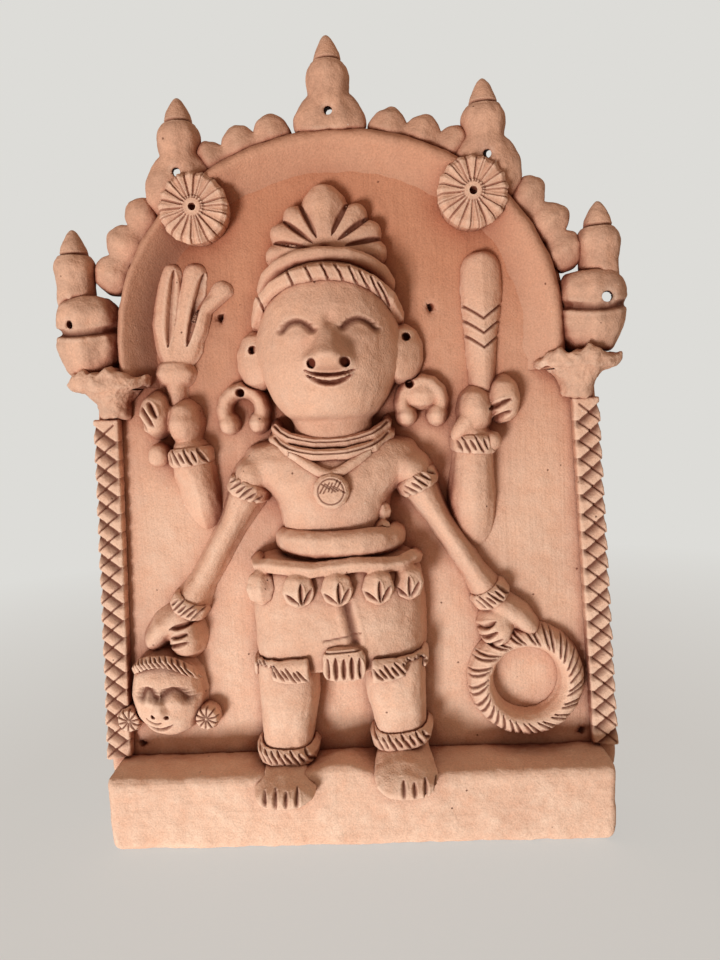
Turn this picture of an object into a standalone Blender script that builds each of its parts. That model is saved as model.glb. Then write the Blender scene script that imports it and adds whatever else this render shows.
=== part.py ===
"""A terracotta deity relief: a four-armed, crested figure that stands in an arched niche.

Each object is one piece of clay as it was rolled, pinched or cut before it was pressed on to the
pieces under it, and each is hollowed where it sits on them, with a thin seam left between.
Sizes are in millimetres here and are turned to metres where a mesh is made. +Z is up, the figure
looks along -Y, and the origin is the middle of the base ledge's underside.
"""

import math

import bmesh
import bpy
from mathutils import Vector

MM = 0.001

# Seam between a piece and what it is pressed on to, and where a flat back sits
GAP = 0.3
SEAT = 1.2 * GAP

# Backing slab
SLAB_THICKNESS = 12.0
SLAB_FOOT_WIDTH = 312.0
SLAB_SHOULDER_WIDTH = 287.0
SLAB_CORNER_CUT = 9.0
EDGE_BEYOND_RIM_SIDE = 11.0
EDGE_BEYOND_RIM_TOP = 8.0
HANGING_HOLE = 4.6
UPPER_HOLES_SPREAD = 61.0
UPPER_HOLES_HEIGHT = 304.0
LOWER_HOLES_INSET = 19.0
LOWER_HOLES_ABOVE_LEDGE = 6.0

# Base ledge
LEDGE_WIDTH = 289.0
LEDGE_HEIGHT = 43.0
LEDGE_DEPTH = 34.0
LEDGE_ROUNDING = 4.0

# Arched niche
SPRING_HEIGHT = 290.0
ARCH_SPAN = 240.0
ARCH_RISE = 106.0
RIM_WIDTH = 15.0
RIM_DEPTH = 12.0
RIM_LEG = 24.0

# Pilasters, capitals and springers
PILASTER_WIDTH = 15.0
PILASTER_INSET = 0.5
PILASTER_DEPTH = 8.0
PILASTER_ROUNDING = 1.2
CAPITAL_HEIGHT = 26.0
CAPITAL_LIP_WIDTH = 47.0
CAPITAL_FOOT_WIDTH = 16.0
CAPITAL_DEPTH = 22.0
CAPITAL_INSET = 4.5
CAPITAL_CRIMPS = 7
CRIMP_DEPTH = 1.6
SPRINGER_WIDTH = 40.0
SPRINGER_INSET = 2.0
LEFT_SPRINGER_OUT = 3.5
SPRINGER_RISE = 28.0
SPRINGER_DROP = 15.0
SPRINGER_DEPTH = 17.0
SPRINGER_HOLE_RISE = 13.0

# Vase finials on their mounds
VASE_HEIGHT = 32.0
VASE_TIP_LENGTH = 14.0
VASE_TIP_WIDTH = 15.0
VASE_BULB_WIDTH = 25.0
VASE_NECK_WIDTH = 21.0
VASE_CREASE = 1.0
VASE_SET_BACK = 1.0
MOUND_WIDTH = 44.0
MOUND_HEIGHT = 18.5
UPPER_FINIAL_SPREAD = 85.5
LOWER_FINIAL_BEYOND_SPRINGER = 6.0
LOWER_FINIAL_PLINTH = 8.0

# Pellet buds round the arch
BUD_WIDTH = 25.0
BUD_LENGTH = 26.0
BUD_DEPTH = 18.0
BUD_PINCH = 0.2
BUDS_IN_ROW = 3
BUD_LINE_SIDE = 18.0
BUD_LINE_TOP = 9.0
UPPER_ROW_ANGLE = 21.5
LOWER_ROW_ANGLE = 60.0

# Rosettes
ROSETTE_SPREAD = 76.7
ROSETTE_BELOW_RIM = 9.0
ROSETTE_WIDTH = 39.0
ROSETTE_DEPTH = 18.0
ROSETTE_BOSS = 11.0
ROSETTE_BORE = 5.0
ROSETTE_PETALS = 17
PETAL_GROOVE = 1.6

# Standing figure
FIGURE_X = -8.0
LEG_LENGTH = 61.0
LEG_IN_SKIRT = 2.0
SKIRT_HEIGHT = 60.0
SKIRT_WIDTH = 99.0
SKIRT_DEPTH = 33.0
SKIRT_BELOW_HEM = 3.0
SKIRT_OVER_WAIST = 2.0
TORSO_HEIGHT = 70.0
TORSO_IN_SKIRT = 4.0
WAIST_WIDTH = 58.0
CHEST_WIDTH = 65.0
SHOULDER_WIDTH = 102.0
CHEST_DEPTH = 30.0
LEG_SPREAD = 31.5
ANKLE_SPREAD = 34.0
THIGH_WIDTH = 35.0
ANKLE_WIDTH = 28.0
LEG_DEPTH = 28.0
LEFT_LEG_LOWER = 8.0
ANKLE_ABOVE_LEDGE = 6.0
SHIN_ABOVE_ANKLE = 10.0
LEG_IN_FOOT = 2.0
FOOT_REACH = 48.0
FOOT_WIDTH = 33.0
FOOT_HEIGHT = 16.0
FOOT_DROOP = 12.0
ANKLET_HEIGHT = 10.5
ANKLET_THICKNESS = 6.0
ANKLET_PROUD = 2.0
ANKLET_ABOVE_LEDGE = 15.0

# Skirt trimmings
HEM_HEIGHT = 10.5
HEM_THICKNESS = 6.5
HEM_DIP = 1.0
HEM_SIDE_RISE = 0.0
HEM_LEFT_TURNS = (-100.0, -14.0)
HEM_RIGHT_TURNS = (17.0, 100.0)
TASSEL_WIDTH = 24.5
TASSEL_HEIGHT = 19.0
TASSEL_THICKNESS = 6.0
TASSEL_SHIFT = 3.5
WAIST_ROLL_HEIGHT = 15.5
WAIST_ROLL_THICKNESS = 12.0
WAIST_ROLL_SHIFT = 3.0
WAIST_ROLL_PROUD = 3.5
BELT_CORD = 8.5
BELT_PROUD = 1.0
BELT_WAVE = 1.2
BELL_WIDTH = 20.0
BELL_LAP = 2.5
BELL_PROUD = 1.0
BELL_TURNS = (-63.0, -25.0, 2.0, 31.0, 61.0)
KNOT_WIDTH = 11.5
KNOT_PROUD = 7.0
KNOT_STEP_BACK = 4.0

# Head and its dress
NECK_WIDTH = 47.0
NECK_HEIGHT = 10.0
NECK_IN_TORSO = 6.0
HEAD_SHIFT = 1.8
HEAD_WIDTH = 75.0
HEAD_HEIGHT = 92.0
HEAD_DEPTH = 44.0
NOSE_WIDTH = 25.0
NOSE_LENGTH = 29.0
NOSE_PROUD = 10.0
NOSE_SHIFT = 2.0
EAR_WIDTH = 19.0
EAR_HEIGHT = 34.0
EAR_DEPTH = 22.0
EARRING_WIDTH = 32.0
EARRING_COIL = 9.5
EARRING_PELLET = 13.0
HEADBAND_COIL = 10.0
HEADBAND_PROUD = 1.8
HEADBAND_SLOPE = 26.0
TURBAN_COIL = 9.0
TURBAN_PROUD = 3.5
TURBAN_SLOPE = 17.0
TURBAN_ABOVE_BAND = 11.0
CREST_SHIFT = 1.0
CREST_LENGTH = 41.0
CREST_TOP_WIDTH = 27.0
CREST_LOBE_WIDTH = 15.0
CREST_DEPTH = 19.0
CREST_LEFT_TURNS = (-37.0, -62.0, -87.0)
CREST_RIGHT_TURNS = (39.0, 65.0, 88.0)

# Necklaces
NECKLACE_SHIFT = 1.0
CHOKER_COIL = 6.6
CHOKER_WIDTH = 66.0
CHOKER_STEP = 3.0
CHOKER_PROUD = 4.0
CHOKER_SLOPE = 13.0
CHOKER_BELOW_NECK = 4.0
CORD_COIL = 5.6
CORD_WIDTH = 70.0
CORD_DROP = 25.0
CORD_PROUD = 1.2
CORD_BELOW_NECK = 21.0
PENDANT_WIDTH = 20.0
PENDANT_THICKNESS = 6.5

# Arms, hands and their bands
ARM_WIDTH = 18.0
ARM_DEPTH = 20.0
ARM_BELOW_SHOULDER = 7.0
WRIST_WIDTH = 17.0
WRIST_DEPTH = 15.0
LOWER_WRIST_OUT = 38.0
LOWER_WRIST_DOWN = 83.0
FOREARM_OUT = 21.0
FOREARM_WIDTH = 23.0
FOREARM_LENGTH = 66.0
FOREARM_LEAN = 2.0
HAND_WIDTH = 20.0
HAND_LENGTH = 26.0
LOWER_PALM_SHIFT = 3.0
UPPER_PALM_SHIFT = 1.5
THUMB_WIDTH = 14.0
BAND_HEIGHT = 10.0
BAND_THICKNESS = 3.2
ARMLET_DOWN = 0.19
LOWER_BRACELET_DOWN = 0.97
UPPER_BRACELET_UP = 0.93

# Things held in the hands
CLUB_LENGTH = 78.0
CLUB_HEAD_WIDTH = 22.0
CLUB_GRIP_WIDTH = 12.0
CLUB_DEPTH = 8.0
CLUB_IN_HAND = 4.0
CLUB_LEAN = 1.0
TRIDENT_LENGTH = 78.0
TRIDENT_WIDTH = 36.0
TRIDENT_PRONG = 14.0
TRIDENT_DEPTH = 6.5
FERRULE_WIDTH = 22.0
FERRULE_DEPTH = 11.0
FERRULE_IN_HAND = 2.0
TROPHY_SHIFT = 6.5
TROPHY_WIDTH = 45.0
TROPHY_HEIGHT = 54.0
TROPHY_DEPTH = 25.0
TROPHY_BAND = 8.0
TROPHY_EARRING_WIDTH = 15.5
TROPHY_EARRING_DEPTH = 12.0
RING_WIDTH = 68.0
RING_COIL = 17.0
RING_DEPTH = 13.0

# How square the round forms are: 2 is an ellipse, and more is fuller
TORSO_FULLNESS = 2.3
SKIRT_FULLNESS = 2.7
HEAD_FULLNESS = 2.3
LEG_FULLNESS = 3.0
NOSE_FULLNESS = 4.0
HAND_FULLNESS = 2.5
TASSEL_FULLNESS = 3.6
COIL_FULLNESS = 2.1

# Places worked out from the sizes above
FACE_Y = LEDGE_DEPTH / 2
HEM_Z = LEDGE_HEIGHT + LEG_LENGTH
WAIST_Z = HEM_Z + SKIRT_HEIGHT
NECK_Z = WAIST_Z + TORSO_HEIGHT
HEAD_Z = NECK_Z + NECK_HEIGHT
HEAD_X = FIGURE_X + HEAD_SHIFT
SHOULDER_Z = WAIST_Z + 0.8 * TORSO_HEIGHT
CAPITAL_TOP = SPRING_HEIGHT - SPRINGER_DROP
CAPITAL_FOOT = CAPITAL_TOP - CAPITAL_HEIGHT
LEFT, RIGHT = -1, 1
SIDES = (("left", LEFT), ("right", RIGHT))

# Clay colours, as linear red, green and blue
SLAB_CLAY = (0.50, 0.25, 0.14)
FIGURE_CLAY = (0.56, 0.29, 0.17)
TRIM_CLAY = (0.60, 0.32, 0.19)
ARCH_CLAY = (0.48, 0.24, 0.14)


def at(x, z, out):
    """A point given across, up, and out from the slab's face."""
    return Vector((x, FACE_Y - out, z))


def through(points, steps):
    """Rows of numbers on a smooth curve that passes through the given rows."""
    rows = []
    last = len(points) - 1
    for k in range(last):
        a, b, c, d = (points[min(max(k + j, 0), last)] for j in (-1, 0, 1, 2))
        for step in range(steps):
            s = step / steps
            rows.append(tuple(
                q + 0.5 * s * (r - p + s * (2 * p - 5 * q + 4 * r - t + s * (3 * (q - r) + t - p)))
                for p, q, r, t in zip(a, b, c, d)))
    rows.append(tuple(points[-1]))
    return rows


def skin(rings, closed=False):
    """A form stretched over rings of points, flat at both ends unless it closes on itself."""
    form = bmesh.new()
    loops = [[form.verts.new(point) for point in ring] for ring in rings]
    pairs = list(zip(loops, loops[1:]))
    if closed:
        pairs.append((loops[-1], loops[0]))
    else:
        form.faces.new(loops[0])
        form.faces.new(loops[-1])
    for lower, upper in pairs:
        for k in range(len(lower)):
            n = (k + 1) % len(lower)
            form.faces.new((lower[k], lower[n], upper[n], upper[k]))
    bmesh.ops.recalc_face_normals(form, faces=form.faces)
    if form.calc_volume(signed=True) < 0:
        bmesh.ops.reverse_faces(form, faces=form.faces)
    return form


def rounded(share, fullness):
    """A sine or cosine made fuller, so that it draws a squarer round."""
    return math.copysign(abs(share) ** (2 / fullness), share)


def seated_ring(x, z, half, depth, facets, fullness=2.0):
    """A level section of a form on the slab: round in front and flat behind."""
    ring = []
    for k in range(facets + 1):
        turn = math.pi * k / facets
        out = rounded(max(math.sin(turn), 0), fullness)
        ring.append(at(x + half * rounded(math.cos(turn), fullness), z, SEAT + (depth - SEAT) * out))
    return ring


def upright(x, stations, facets, steps, fullness=2.0):
    """A form that rises through stations of height, half width and depth, set against the slab."""
    return skin([seated_ring(x, z, half, depth, facets, fullness)
                 for z, half, depth in through(stations, steps)])


def front_of(x_axis, stations, fullness, x, z):
    """How far an upright form stands out from the slab at a place on its front."""
    spans = zip(stations, stations[1:])
    below, above = next((span for span in spans if span[1][0] >= z), stations[-2:])
    share = min(max((z - below[0]) / (above[0] - below[0]), 0), 1)
    half = below[1] + share * (above[1] - below[1])
    depth = below[2] + share * (above[2] - below[2])
    across = min(abs(x - x_axis) / half, 1)
    return depth * (1 - across ** fullness) ** (1 / fullness)


def dome(x, z, half_width, half_height, depth, facets=10, levels=6, fullness=2.0):
    """A rounded lump pressed flat on the slab."""
    rings = []
    for k in range(levels + 1):
        rise = math.radians(-80 + 160 * k / levels)
        size = math.cos(rise)
        rings.append(seated_ring(x, z + half_height * math.sin(rise) / math.sin(math.radians(80)),
                                 half_width * size, SEAT + (depth - SEAT) * size ** 0.8,
                                 facets, fullness))
    return skin(rings)


def laid_coil(path, facets=6, steps=2, round_ends=True):
    """A coil laid flat on the slab through rows of across, up, half width and depth."""
    rows = through(path, steps)
    rings = []
    for k, (x, z, half, depth) in enumerate(rows):
        before, after = rows[max(k - 1, 0)], rows[min(k + 1, len(rows) - 1)]
        run = Vector((after[0] - before[0], after[1] - before[1])).normalized()
        ends = []
        if round_ends and k == 0:
            ends = [(-0.75, 0.45), (-0.45, 0.85)]
        if round_ends and k == len(rows) - 1:
            ends = [(0.45, 0.85), (0.75, 0.45)]
        places = [(0.0, 1.0)]
        places = ends + places if k == 0 else places + ends
        for along, size in places:
            ring = []
            for j in range(facets + 1):
                turn = math.pi * j / facets
                across = half * size * math.cos(turn)
                out = (depth - SEAT) * size ** 0.5 * math.sin(turn)
                ring.append(at(x + run.x * half * along - run.y * across,
                               z + run.y * half * along + run.x * across, SEAT + out))
            rings.append(ring)
    return skin(rings)


def wrapped_coil(points, half_height, half_thickness, facets=6):
    """A coil that follows points in space, higher than it is thick."""
    rings = []
    for k, point in enumerate(points):
        run = (points[min(k + 1, len(points) - 1)] - points[max(k - 1, 0)]).normalized()
        rise = (Vector((0, 0, 1)) - run * run.z).normalized()
        out = run.cross(rise)
        rings.append([point + rise * half_height * math.cos(2 * math.pi * j / facets)
                      + out * half_thickness * math.sin(2 * math.pi * j / facets)
                      for j in range(facets)])
    return skin(rings)


def loop_round(x, half, depth, front_z, side_z, fullness, turns=(-100.0, 100.0), count=10, wave=0.0):
    """Points of a loop that runs from the slab round the front of a form and back to the slab."""
    points = []
    start, end = turns
    for k in range(count + 1):
        turn = math.radians(start + (end - start) * k / count)
        out = rounded(math.cos(turn), fullness)
        z = side_z + (front_z - side_z) * max(out, 0) + wave * math.sin(7 * turn)
        points.append(at(x + half * rounded(math.sin(turn), fullness), z, depth * out))
    return points


def ball(x, z, out, half_width, half_height, half_depth,
         facets=7, levels=4, back=None, fullness=2.0):
    """A rolled pellet, or a squarer pad; its back can be patted flat at a depth."""
    rings = []
    for k in range(levels + 1):
        rise = math.radians(78 * (2 * k / levels - 1))
        size = rounded(math.cos(rise), fullness)
        up = half_height * rounded(math.sin(rise) / math.sin(math.radians(78)), fullness)
        ring = []
        for j in range(facets):
            turn = 2 * math.pi * (j + 0.5) / facets
            depth = out + half_depth * size * rounded(math.sin(turn), fullness)
            if back is not None:
                depth = max(depth, back)
            ring.append(at(x + half_width * size * rounded(math.cos(turn), fullness), z + up, depth))
        rings.append(ring)
    form = skin(rings)
    bmesh.ops.remove_doubles(form, verts=form.verts, dist=0.01)
    return form


def disc_facing_out(x, z, profile, count=12, groove=0.0):
    """A button turned about a line out of the slab, from radius, depth and how far it is fluted."""
    rings = []
    for radius, out, fluted in profile:
        ring = []
        for j in range(count):
            turn = 2 * math.pi * j / count
            cut = groove * fluted * (j % 2)
            ring.append(at(x + (radius - 0.4 * cut) * math.sin(turn),
                           z + (radius - 0.4 * cut) * math.cos(turn), out - cut))
        rings.append(ring)
    return skin(rings)


def drill(x, z, radius, front, back):
    """A round bit that passes through from front to back, made to cut with."""
    return disc_facing_out(x, z, [(radius, back, 0), (radius, front, 0)], 8)


def mesh_from(form):
    """A mesh in metres from a form in millimetres."""
    mesh = bpy.data.meshes.new("clay")
    bmesh.ops.scale(form, vec=(MM, MM, MM), verts=form.verts)
    form.to_mesh(mesh)
    form.free()
    return mesh


def helper(name, mesh):
    """An object that only cuts or joins, hidden from renders."""
    guide = bpy.data.objects.new(name, mesh)
    guide.hide_render = True
    guide.display_type = "WIRE"
    bpy.context.scene.collection.objects.link(guide)
    return guide


def worked(mesh, operations):
    """The mesh after its Boolean cuts and joins.

    The exact solver leaves open edges where coils nearly coincide, so the manifold one does these.
    """
    guide = helper("worked", mesh)
    for operation, other in operations:
        step = guide.modifiers.new(operation, "BOOLEAN")
        step.operation = operation
        step.object = other
        step.solver = "MANIFOLD"
    bpy.context.view_layer.update()
    graph = bpy.context.evaluated_depsgraph_get()
    result = bpy.data.meshes.new_from_object(guide.evaluated_get(graph))
    bpy.data.objects.remove(guide)
    return result


def whole_piece(mesh):
    """Drops the crumbs that a cut leaves, so that the largest body remains."""
    form = bmesh.new()
    form.from_mesh(mesh)
    flat = math.radians(0.1)
    bmesh.ops.dissolve_limit(form, angle_limit=flat, verts=form.verts, edges=form.edges)
    bmesh.ops.triangulate(form, faces=form.faces)
    bodies = []
    left = set(form.faces)
    while left:
        body, front = set(), [left.pop()]
        while front:
            face = front.pop()
            body.add(face)
            for edge in face.edges:
                for other in edge.link_faces:
                    if len(edge.link_faces) == 2 and other in left:
                        left.remove(other)
                        front.append(other)
        bodies.append(body)
    kept = max(bodies, key=lambda body: sum(face.calc_area() for face in body))
    bmesh.ops.delete(form, geom=[face for face in form.faces if face not in kept], context="FACES")
    form.to_mesh(mesh)
    form.free()
    return mesh


def clay(name, colour):
    """Fired, unglazed earthenware."""
    material = bpy.data.materials.new(name)
    material.use_nodes = True
    shader = material.node_tree.nodes["Principled BSDF"]
    shader.inputs["Base Color"].default_value = (*colour, 1)
    shader.inputs["Roughness"].default_value = 0.9
    shader.inputs["Metallic"].default_value = 0.0
    material.diffuse_color = (*colour, 1)
    return material


def box_of(mesh):
    """Lowest and highest corners of a mesh."""
    corners = [vertex.co for vertex in mesh.vertices]
    return ([min(c[k] for c in corners) for k in range(3)],
            [max(c[k] for c in corners) for k in range(3)])


def meet(one, other):
    """Whether two boxes share any space."""
    return all(one[0][k] < other[1][k] and other[0][k] < one[1][k] for k in range(3))


def swollen(form):
    """A mesh of the form with its skin moved out by the seam, for cutting its seat in other pieces."""
    room = form.copy()
    room.normal_update()
    moves = [vertex.normal * min(vertex.calc_shell_factor(), 3) * GAP for vertex in room.verts]
    for vertex, move in zip(room.verts, moves):
        vertex.co += move
    return mesh_from(room)


def fused(meshes):
    """One mesh from several that overlap."""
    first, *rest = meshes
    guides = [helper("join", mesh) for mesh in rest]
    whole = worked(first, [("UNION", guide) for guide in guides])
    for guide in guides:
        bpy.data.objects.remove(guide)
    return whole


SEATS = []


def press_on(name, forms, colour, holes=()):
    """One piece of clay, fused from its forms and hollowed by every earlier piece that it meets."""
    room = fused([swollen(form) for form in forms])
    raw = fused([mesh_from(form) for form in forms])
    box = box_of(raw)
    bits = [helper("bit", mesh_from(form)) for form in holes]
    cutters = bits + [seat for seat, seat_box in SEATS if meet(box, seat_box)]
    mesh = whole_piece(worked(raw, [("DIFFERENCE", cutter) for cutter in cutters]))
    piece = bpy.data.objects.new(name, mesh)
    bpy.context.scene.collection.objects.link(piece)
    piece.data.materials.append(clay(name + "_clay", colour))
    piece.data.shade_smooth()
    piece.data.set_sharp_from_angle(angle=math.radians(35))
    for guide in bits:
        bpy.data.objects.remove(guide)
    SEATS.append((helper("room_for_" + name, room), box_of(room)))


for old in list(bpy.data.objects):
    bpy.data.objects.remove(old)


# Backing slab: lower corners cut back, straight sides, a step at the springing line, and an
# elliptical head
def arch_point(turn_deg, beyond_side=0.0, beyond_top=0.0):
    """A place on the niche's arch, or outside it, by its turn from the crown."""
    turn = math.radians(turn_deg)
    return ((ARCH_SPAN / 2 + beyond_side) * math.sin(turn),
            SPRING_HEIGHT + (ARCH_RISE + beyond_top) * math.cos(turn))


def slab_edge_at(x):
    """Height of the slab's arched edge above a place."""
    reach = ARCH_SPAN / 2 + EDGE_BEYOND_RIM_SIDE
    return SPRING_HEIGHT + (ARCH_RISE + EDGE_BEYOND_RIM_TOP) * math.sqrt(1 - (x / reach) ** 2)


def slab_half_width(z):
    """Half the slab's width below the springing line."""
    share = min(z / SPRING_HEIGHT, 1)
    return (SLAB_FOOT_WIDTH + (SLAB_SHOULDER_WIDTH - SLAB_FOOT_WIDTH) * share) / 2


def front_edges(form):
    """The edges of a flat-backed form that lie on its front."""
    return [edge for edge in form.edges if all(v.co.y < FACE_Y - 2 * SEAT for v in edge.verts)]


ARCH_STEP = 10
cut_top = 0.8 * LEDGE_HEIGHT
cut_foot = slab_half_width(0) - SLAB_CORNER_CUT
outline = [(-cut_foot, 0), (-slab_half_width(cut_top), cut_top),
           (-slab_half_width(SPRING_HEIGHT), SPRING_HEIGHT)]
for turn in range(-90, 91, ARCH_STEP):
    outline.append(arch_point(turn, EDGE_BEYOND_RIM_SIDE, EDGE_BEYOND_RIM_TOP))
outline += [(slab_half_width(SPRING_HEIGHT), SPRING_HEIGHT), (slab_half_width(cut_top), cut_top),
            (cut_foot, 0)]
slab = skin([[at(x, z, out) for x, z in outline] for out in (-SLAB_THICKNESS, 0)])
lower_hole_z = LEDGE_HEIGHT + LOWER_HOLES_ABOVE_LEDGE
lower_hole_x = slab_half_width(lower_hole_z) - LOWER_HOLES_INSET
slab_holes = [(FIGURE_X + side * UPPER_HOLES_SPREAD, UPPER_HOLES_HEIGHT) for _, side in SIDES]
slab_holes += [(side * lower_hole_x, lower_hole_z) for _, side in SIDES]
past_back = -2 * SLAB_THICKNESS
press_on("backing_slab", [slab], SLAB_CLAY,
         [drill(x, z, HANGING_HOLE / 2, SLAB_THICKNESS, past_back) for x, z in slab_holes])

# Base ledge: a block with worn, rounded edges, flat underneath and against the slab
half = LEDGE_WIDTH / 2
corners = [(-half, 0), (half, 0), (half, LEDGE_HEIGHT), (-half, LEDGE_HEIGHT)]
ledge = skin([[at(x, z, out) for x, z in corners] for out in (SEAT, LEDGE_DEPTH)])
bmesh.ops.bevel(ledge, geom=front_edges(ledge), offset=LEDGE_ROUNDING, segments=3, profile=0.5,
                affect="EDGES")
press_on("base_ledge", [ledge], ARCH_CLAY)

# Pilasters: flat strips along the slab's straight edges
foot, top = LEDGE_HEIGHT + SEAT, CAPITAL_FOOT - SEAT
for word, side in SIDES:
    corners = [(foot, PILASTER_INSET), (top, PILASTER_INSET), (top, PILASTER_WIDTH), (foot, PILASTER_WIDTH)]
    strip = skin([[at(side * (slab_half_width(z) - inset), z, out) for z, inset in corners]
                  for out in (SEAT, PILASTER_DEPTH)])
    bmesh.ops.bevel(strip, geom=front_edges(strip), offset=PILASTER_ROUNDING, segments=2, profile=0.5,
                    affect="EDGES")
    press_on("pilaster_" + word, [strip], TRIM_CLAY)

# Arch rim: a smooth coil from one springing, over the crown, to the other
rim_path = [(*arch_point(turn), RIM_WIDTH / 2, RIM_DEPTH) for turn in range(-90, 91, ARCH_STEP)]
for end, (x, z, *coil) in ((0, rim_path[0]), (len(rim_path) + 1, rim_path[-1])):
    rim_path.insert(end, (x, z - RIM_LEG, *coil))
press_on("arch_rim", [laid_coil(rim_path, steps=1, round_ends=False)], ARCH_CLAY)

# Springers: two stacked rolls that carry the arch's ends, pierced for a hanging wire
right_springer_x = slab_half_width(SPRING_HEIGHT) - SPRINGER_INSET
springer_x = {LEFT: -right_springer_x - LEFT_SPRINGER_OUT, RIGHT: right_springer_x}
SPRINGER_ROLLS = ((0.0, 0.62, 0.7), (0.2, 0.9, 0.93), (0.38, 1.0, 1.0), (0.52, 0.92, 0.9),
                  (0.56, 0.84, 0.8), (0.64, 0.92, 0.9), (0.77, 0.96, 1.0), (0.9, 0.86, 0.85),
                  (1.0, 0.6, 0.6))
ROUND_FACETS = 8
for word, side in SIDES:
    rings = []
    for share, wide, deep in SPRINGER_ROLLS:
        z = CAPITAL_TOP + SEAT + share * (SPRINGER_RISE + SPRINGER_DROP)
        ring = []
        for k in range(ROUND_FACETS):
            turn = 2 * math.pi * k / ROUND_FACETS
            out = math.sin(turn)
            depth = SPRINGER_DEPTH * deep * out if out > 0 else SLAB_THICKNESS * max(1.3 * out, -1)
            ring.append(at(springer_x[side] + SPRINGER_WIDTH / 2 * wide * math.cos(turn), z, depth))
        rings.append(ring)
    hole = drill(springer_x[side] + side * LOWER_FINIAL_BEYOND_SPRINGER,
                 SPRING_HEIGHT + SPRINGER_HOLE_RISE, HANGING_HOLE / 2, 2 * SPRINGER_DEPTH, past_back)
    press_on("springer_" + word, [skin(rings)], ARCH_CLAY, [hole])

# Capitals: funnels pinched out of a pad of clay, with a crimped and ragged lip
FUNNEL = ((0.0, CAPITAL_FOOT_WIDTH / 2, 0.42, 0), (0.35, 0.6 * CAPITAL_FOOT_WIDTH, 0.55, 0),
          (0.6, 0.33 * CAPITAL_LIP_WIDTH, 0.8, 0.3), (0.75, 0.49 * CAPITAL_LIP_WIDTH, 0.97, 1),
          (0.94, 0.5 * CAPITAL_LIP_WIDTH, 1.0, 1), (1.0, 0.45 * CAPITAL_LIP_WIDTH, 0.9, 0))
for word, side in SIDES:
    x = side * (slab_half_width(CAPITAL_FOOT) - PILASTER_WIDTH / 2 - CAPITAL_INSET)
    rings = []
    for share, half, deep, crimped in FUNNEL:
        ring = seated_ring(x, CAPITAL_FOOT + GAP + share * (CAPITAL_HEIGHT - GAP), half,
                           CAPITAL_DEPTH * deep, 2 * CAPITAL_CRIMPS)
        for k, point in enumerate(ring):
            pinch = CRIMP_DEPTH * crimped * (k % 2)
            point.z -= pinch
            if 0 < k < len(ring) - 1:
                point.y += pinch
        rings.append(ring)
    press_on("capital_" + word, [skin(rings)], TRIM_CLAY)


# Finials: turned vases with a cone tip, set on pierced mounds along the arch
def vase(x, tip_z, foot_z):
    """A vase turned about an upright line, with its back cut level with the slab's."""
    tip, bulb, neck = VASE_TIP_WIDTH / 2, VASE_BULB_WIDTH / 2, VASE_NECK_WIDTH / 2
    crease_z = tip_z - VASE_TIP_LENGTH
    bulb_z = (crease_z + tip_z - 0.93 * VASE_HEIGHT) / 2
    profile = [(foot_z, 1.12 * neck), (tip_z - VASE_HEIGHT, neck),
               (bulb_z - 0.16 * VASE_HEIGHT, 0.93 * bulb), (bulb_z, bulb),
               (bulb_z + 0.14 * VASE_HEIGHT, 0.86 * bulb),
               (crease_z - 0.6 * VASE_CREASE, 0.98 * tip), (crease_z + 0.4 * VASE_CREASE, 0.9 * tip),
               (crease_z + 0.15 * VASE_TIP_LENGTH, tip), (tip_z - 0.25 * VASE_TIP_LENGTH, 0.45 * tip),
               (tip_z, 0.12 * tip)]
    rings = []
    for z, radius in profile:
        ring = []
        for k in range(ROUND_FACETS):
            turn = 2 * math.pi * k / ROUND_FACETS
            out = radius * math.sin(turn) - VASE_SET_BACK
            ring.append(at(x + radius * math.cos(turn), z, max(out, -SLAB_THICKNESS)))
        rings.append(ring)
    return skin(rings)


for name, x in (("finial_top", 0.0), ("finial_upper_left", -UPPER_FINIAL_SPREAD),
                ("finial_upper_right", UPPER_FINIAL_SPREAD)):
    edge = slab_edge_at(x)
    tip = edge + MOUND_HEIGHT + VASE_HEIGHT
    mound = ball(x, edge, -VASE_SET_BACK, MOUND_WIDTH / 2, 1.12 * MOUND_HEIGHT, SLAB_THICKNESS,
                 ROUND_FACETS, 5, -SLAB_THICKNESS)
    hole = drill(x, edge + 0.36 * MOUND_HEIGHT, HANGING_HOLE / 2, 2 * SLAB_THICKNESS, past_back)
    press_on(name, [vase(x, tip, edge + 0.6 * MOUND_HEIGHT), mound], ARCH_CLAY, [hole])
for word, side in SIDES:
    foot = SPRING_HEIGHT + SPRINGER_RISE
    tip = foot + LOWER_FINIAL_PLINTH + VASE_HEIGHT
    x = springer_x[side] + side * LOWER_FINIAL_BEYOND_SPRINGER
    press_on("finial_lower_" + word, [vase(x, tip, foot - SPRINGER_RISE / 4)], ARCH_CLAY)

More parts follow.
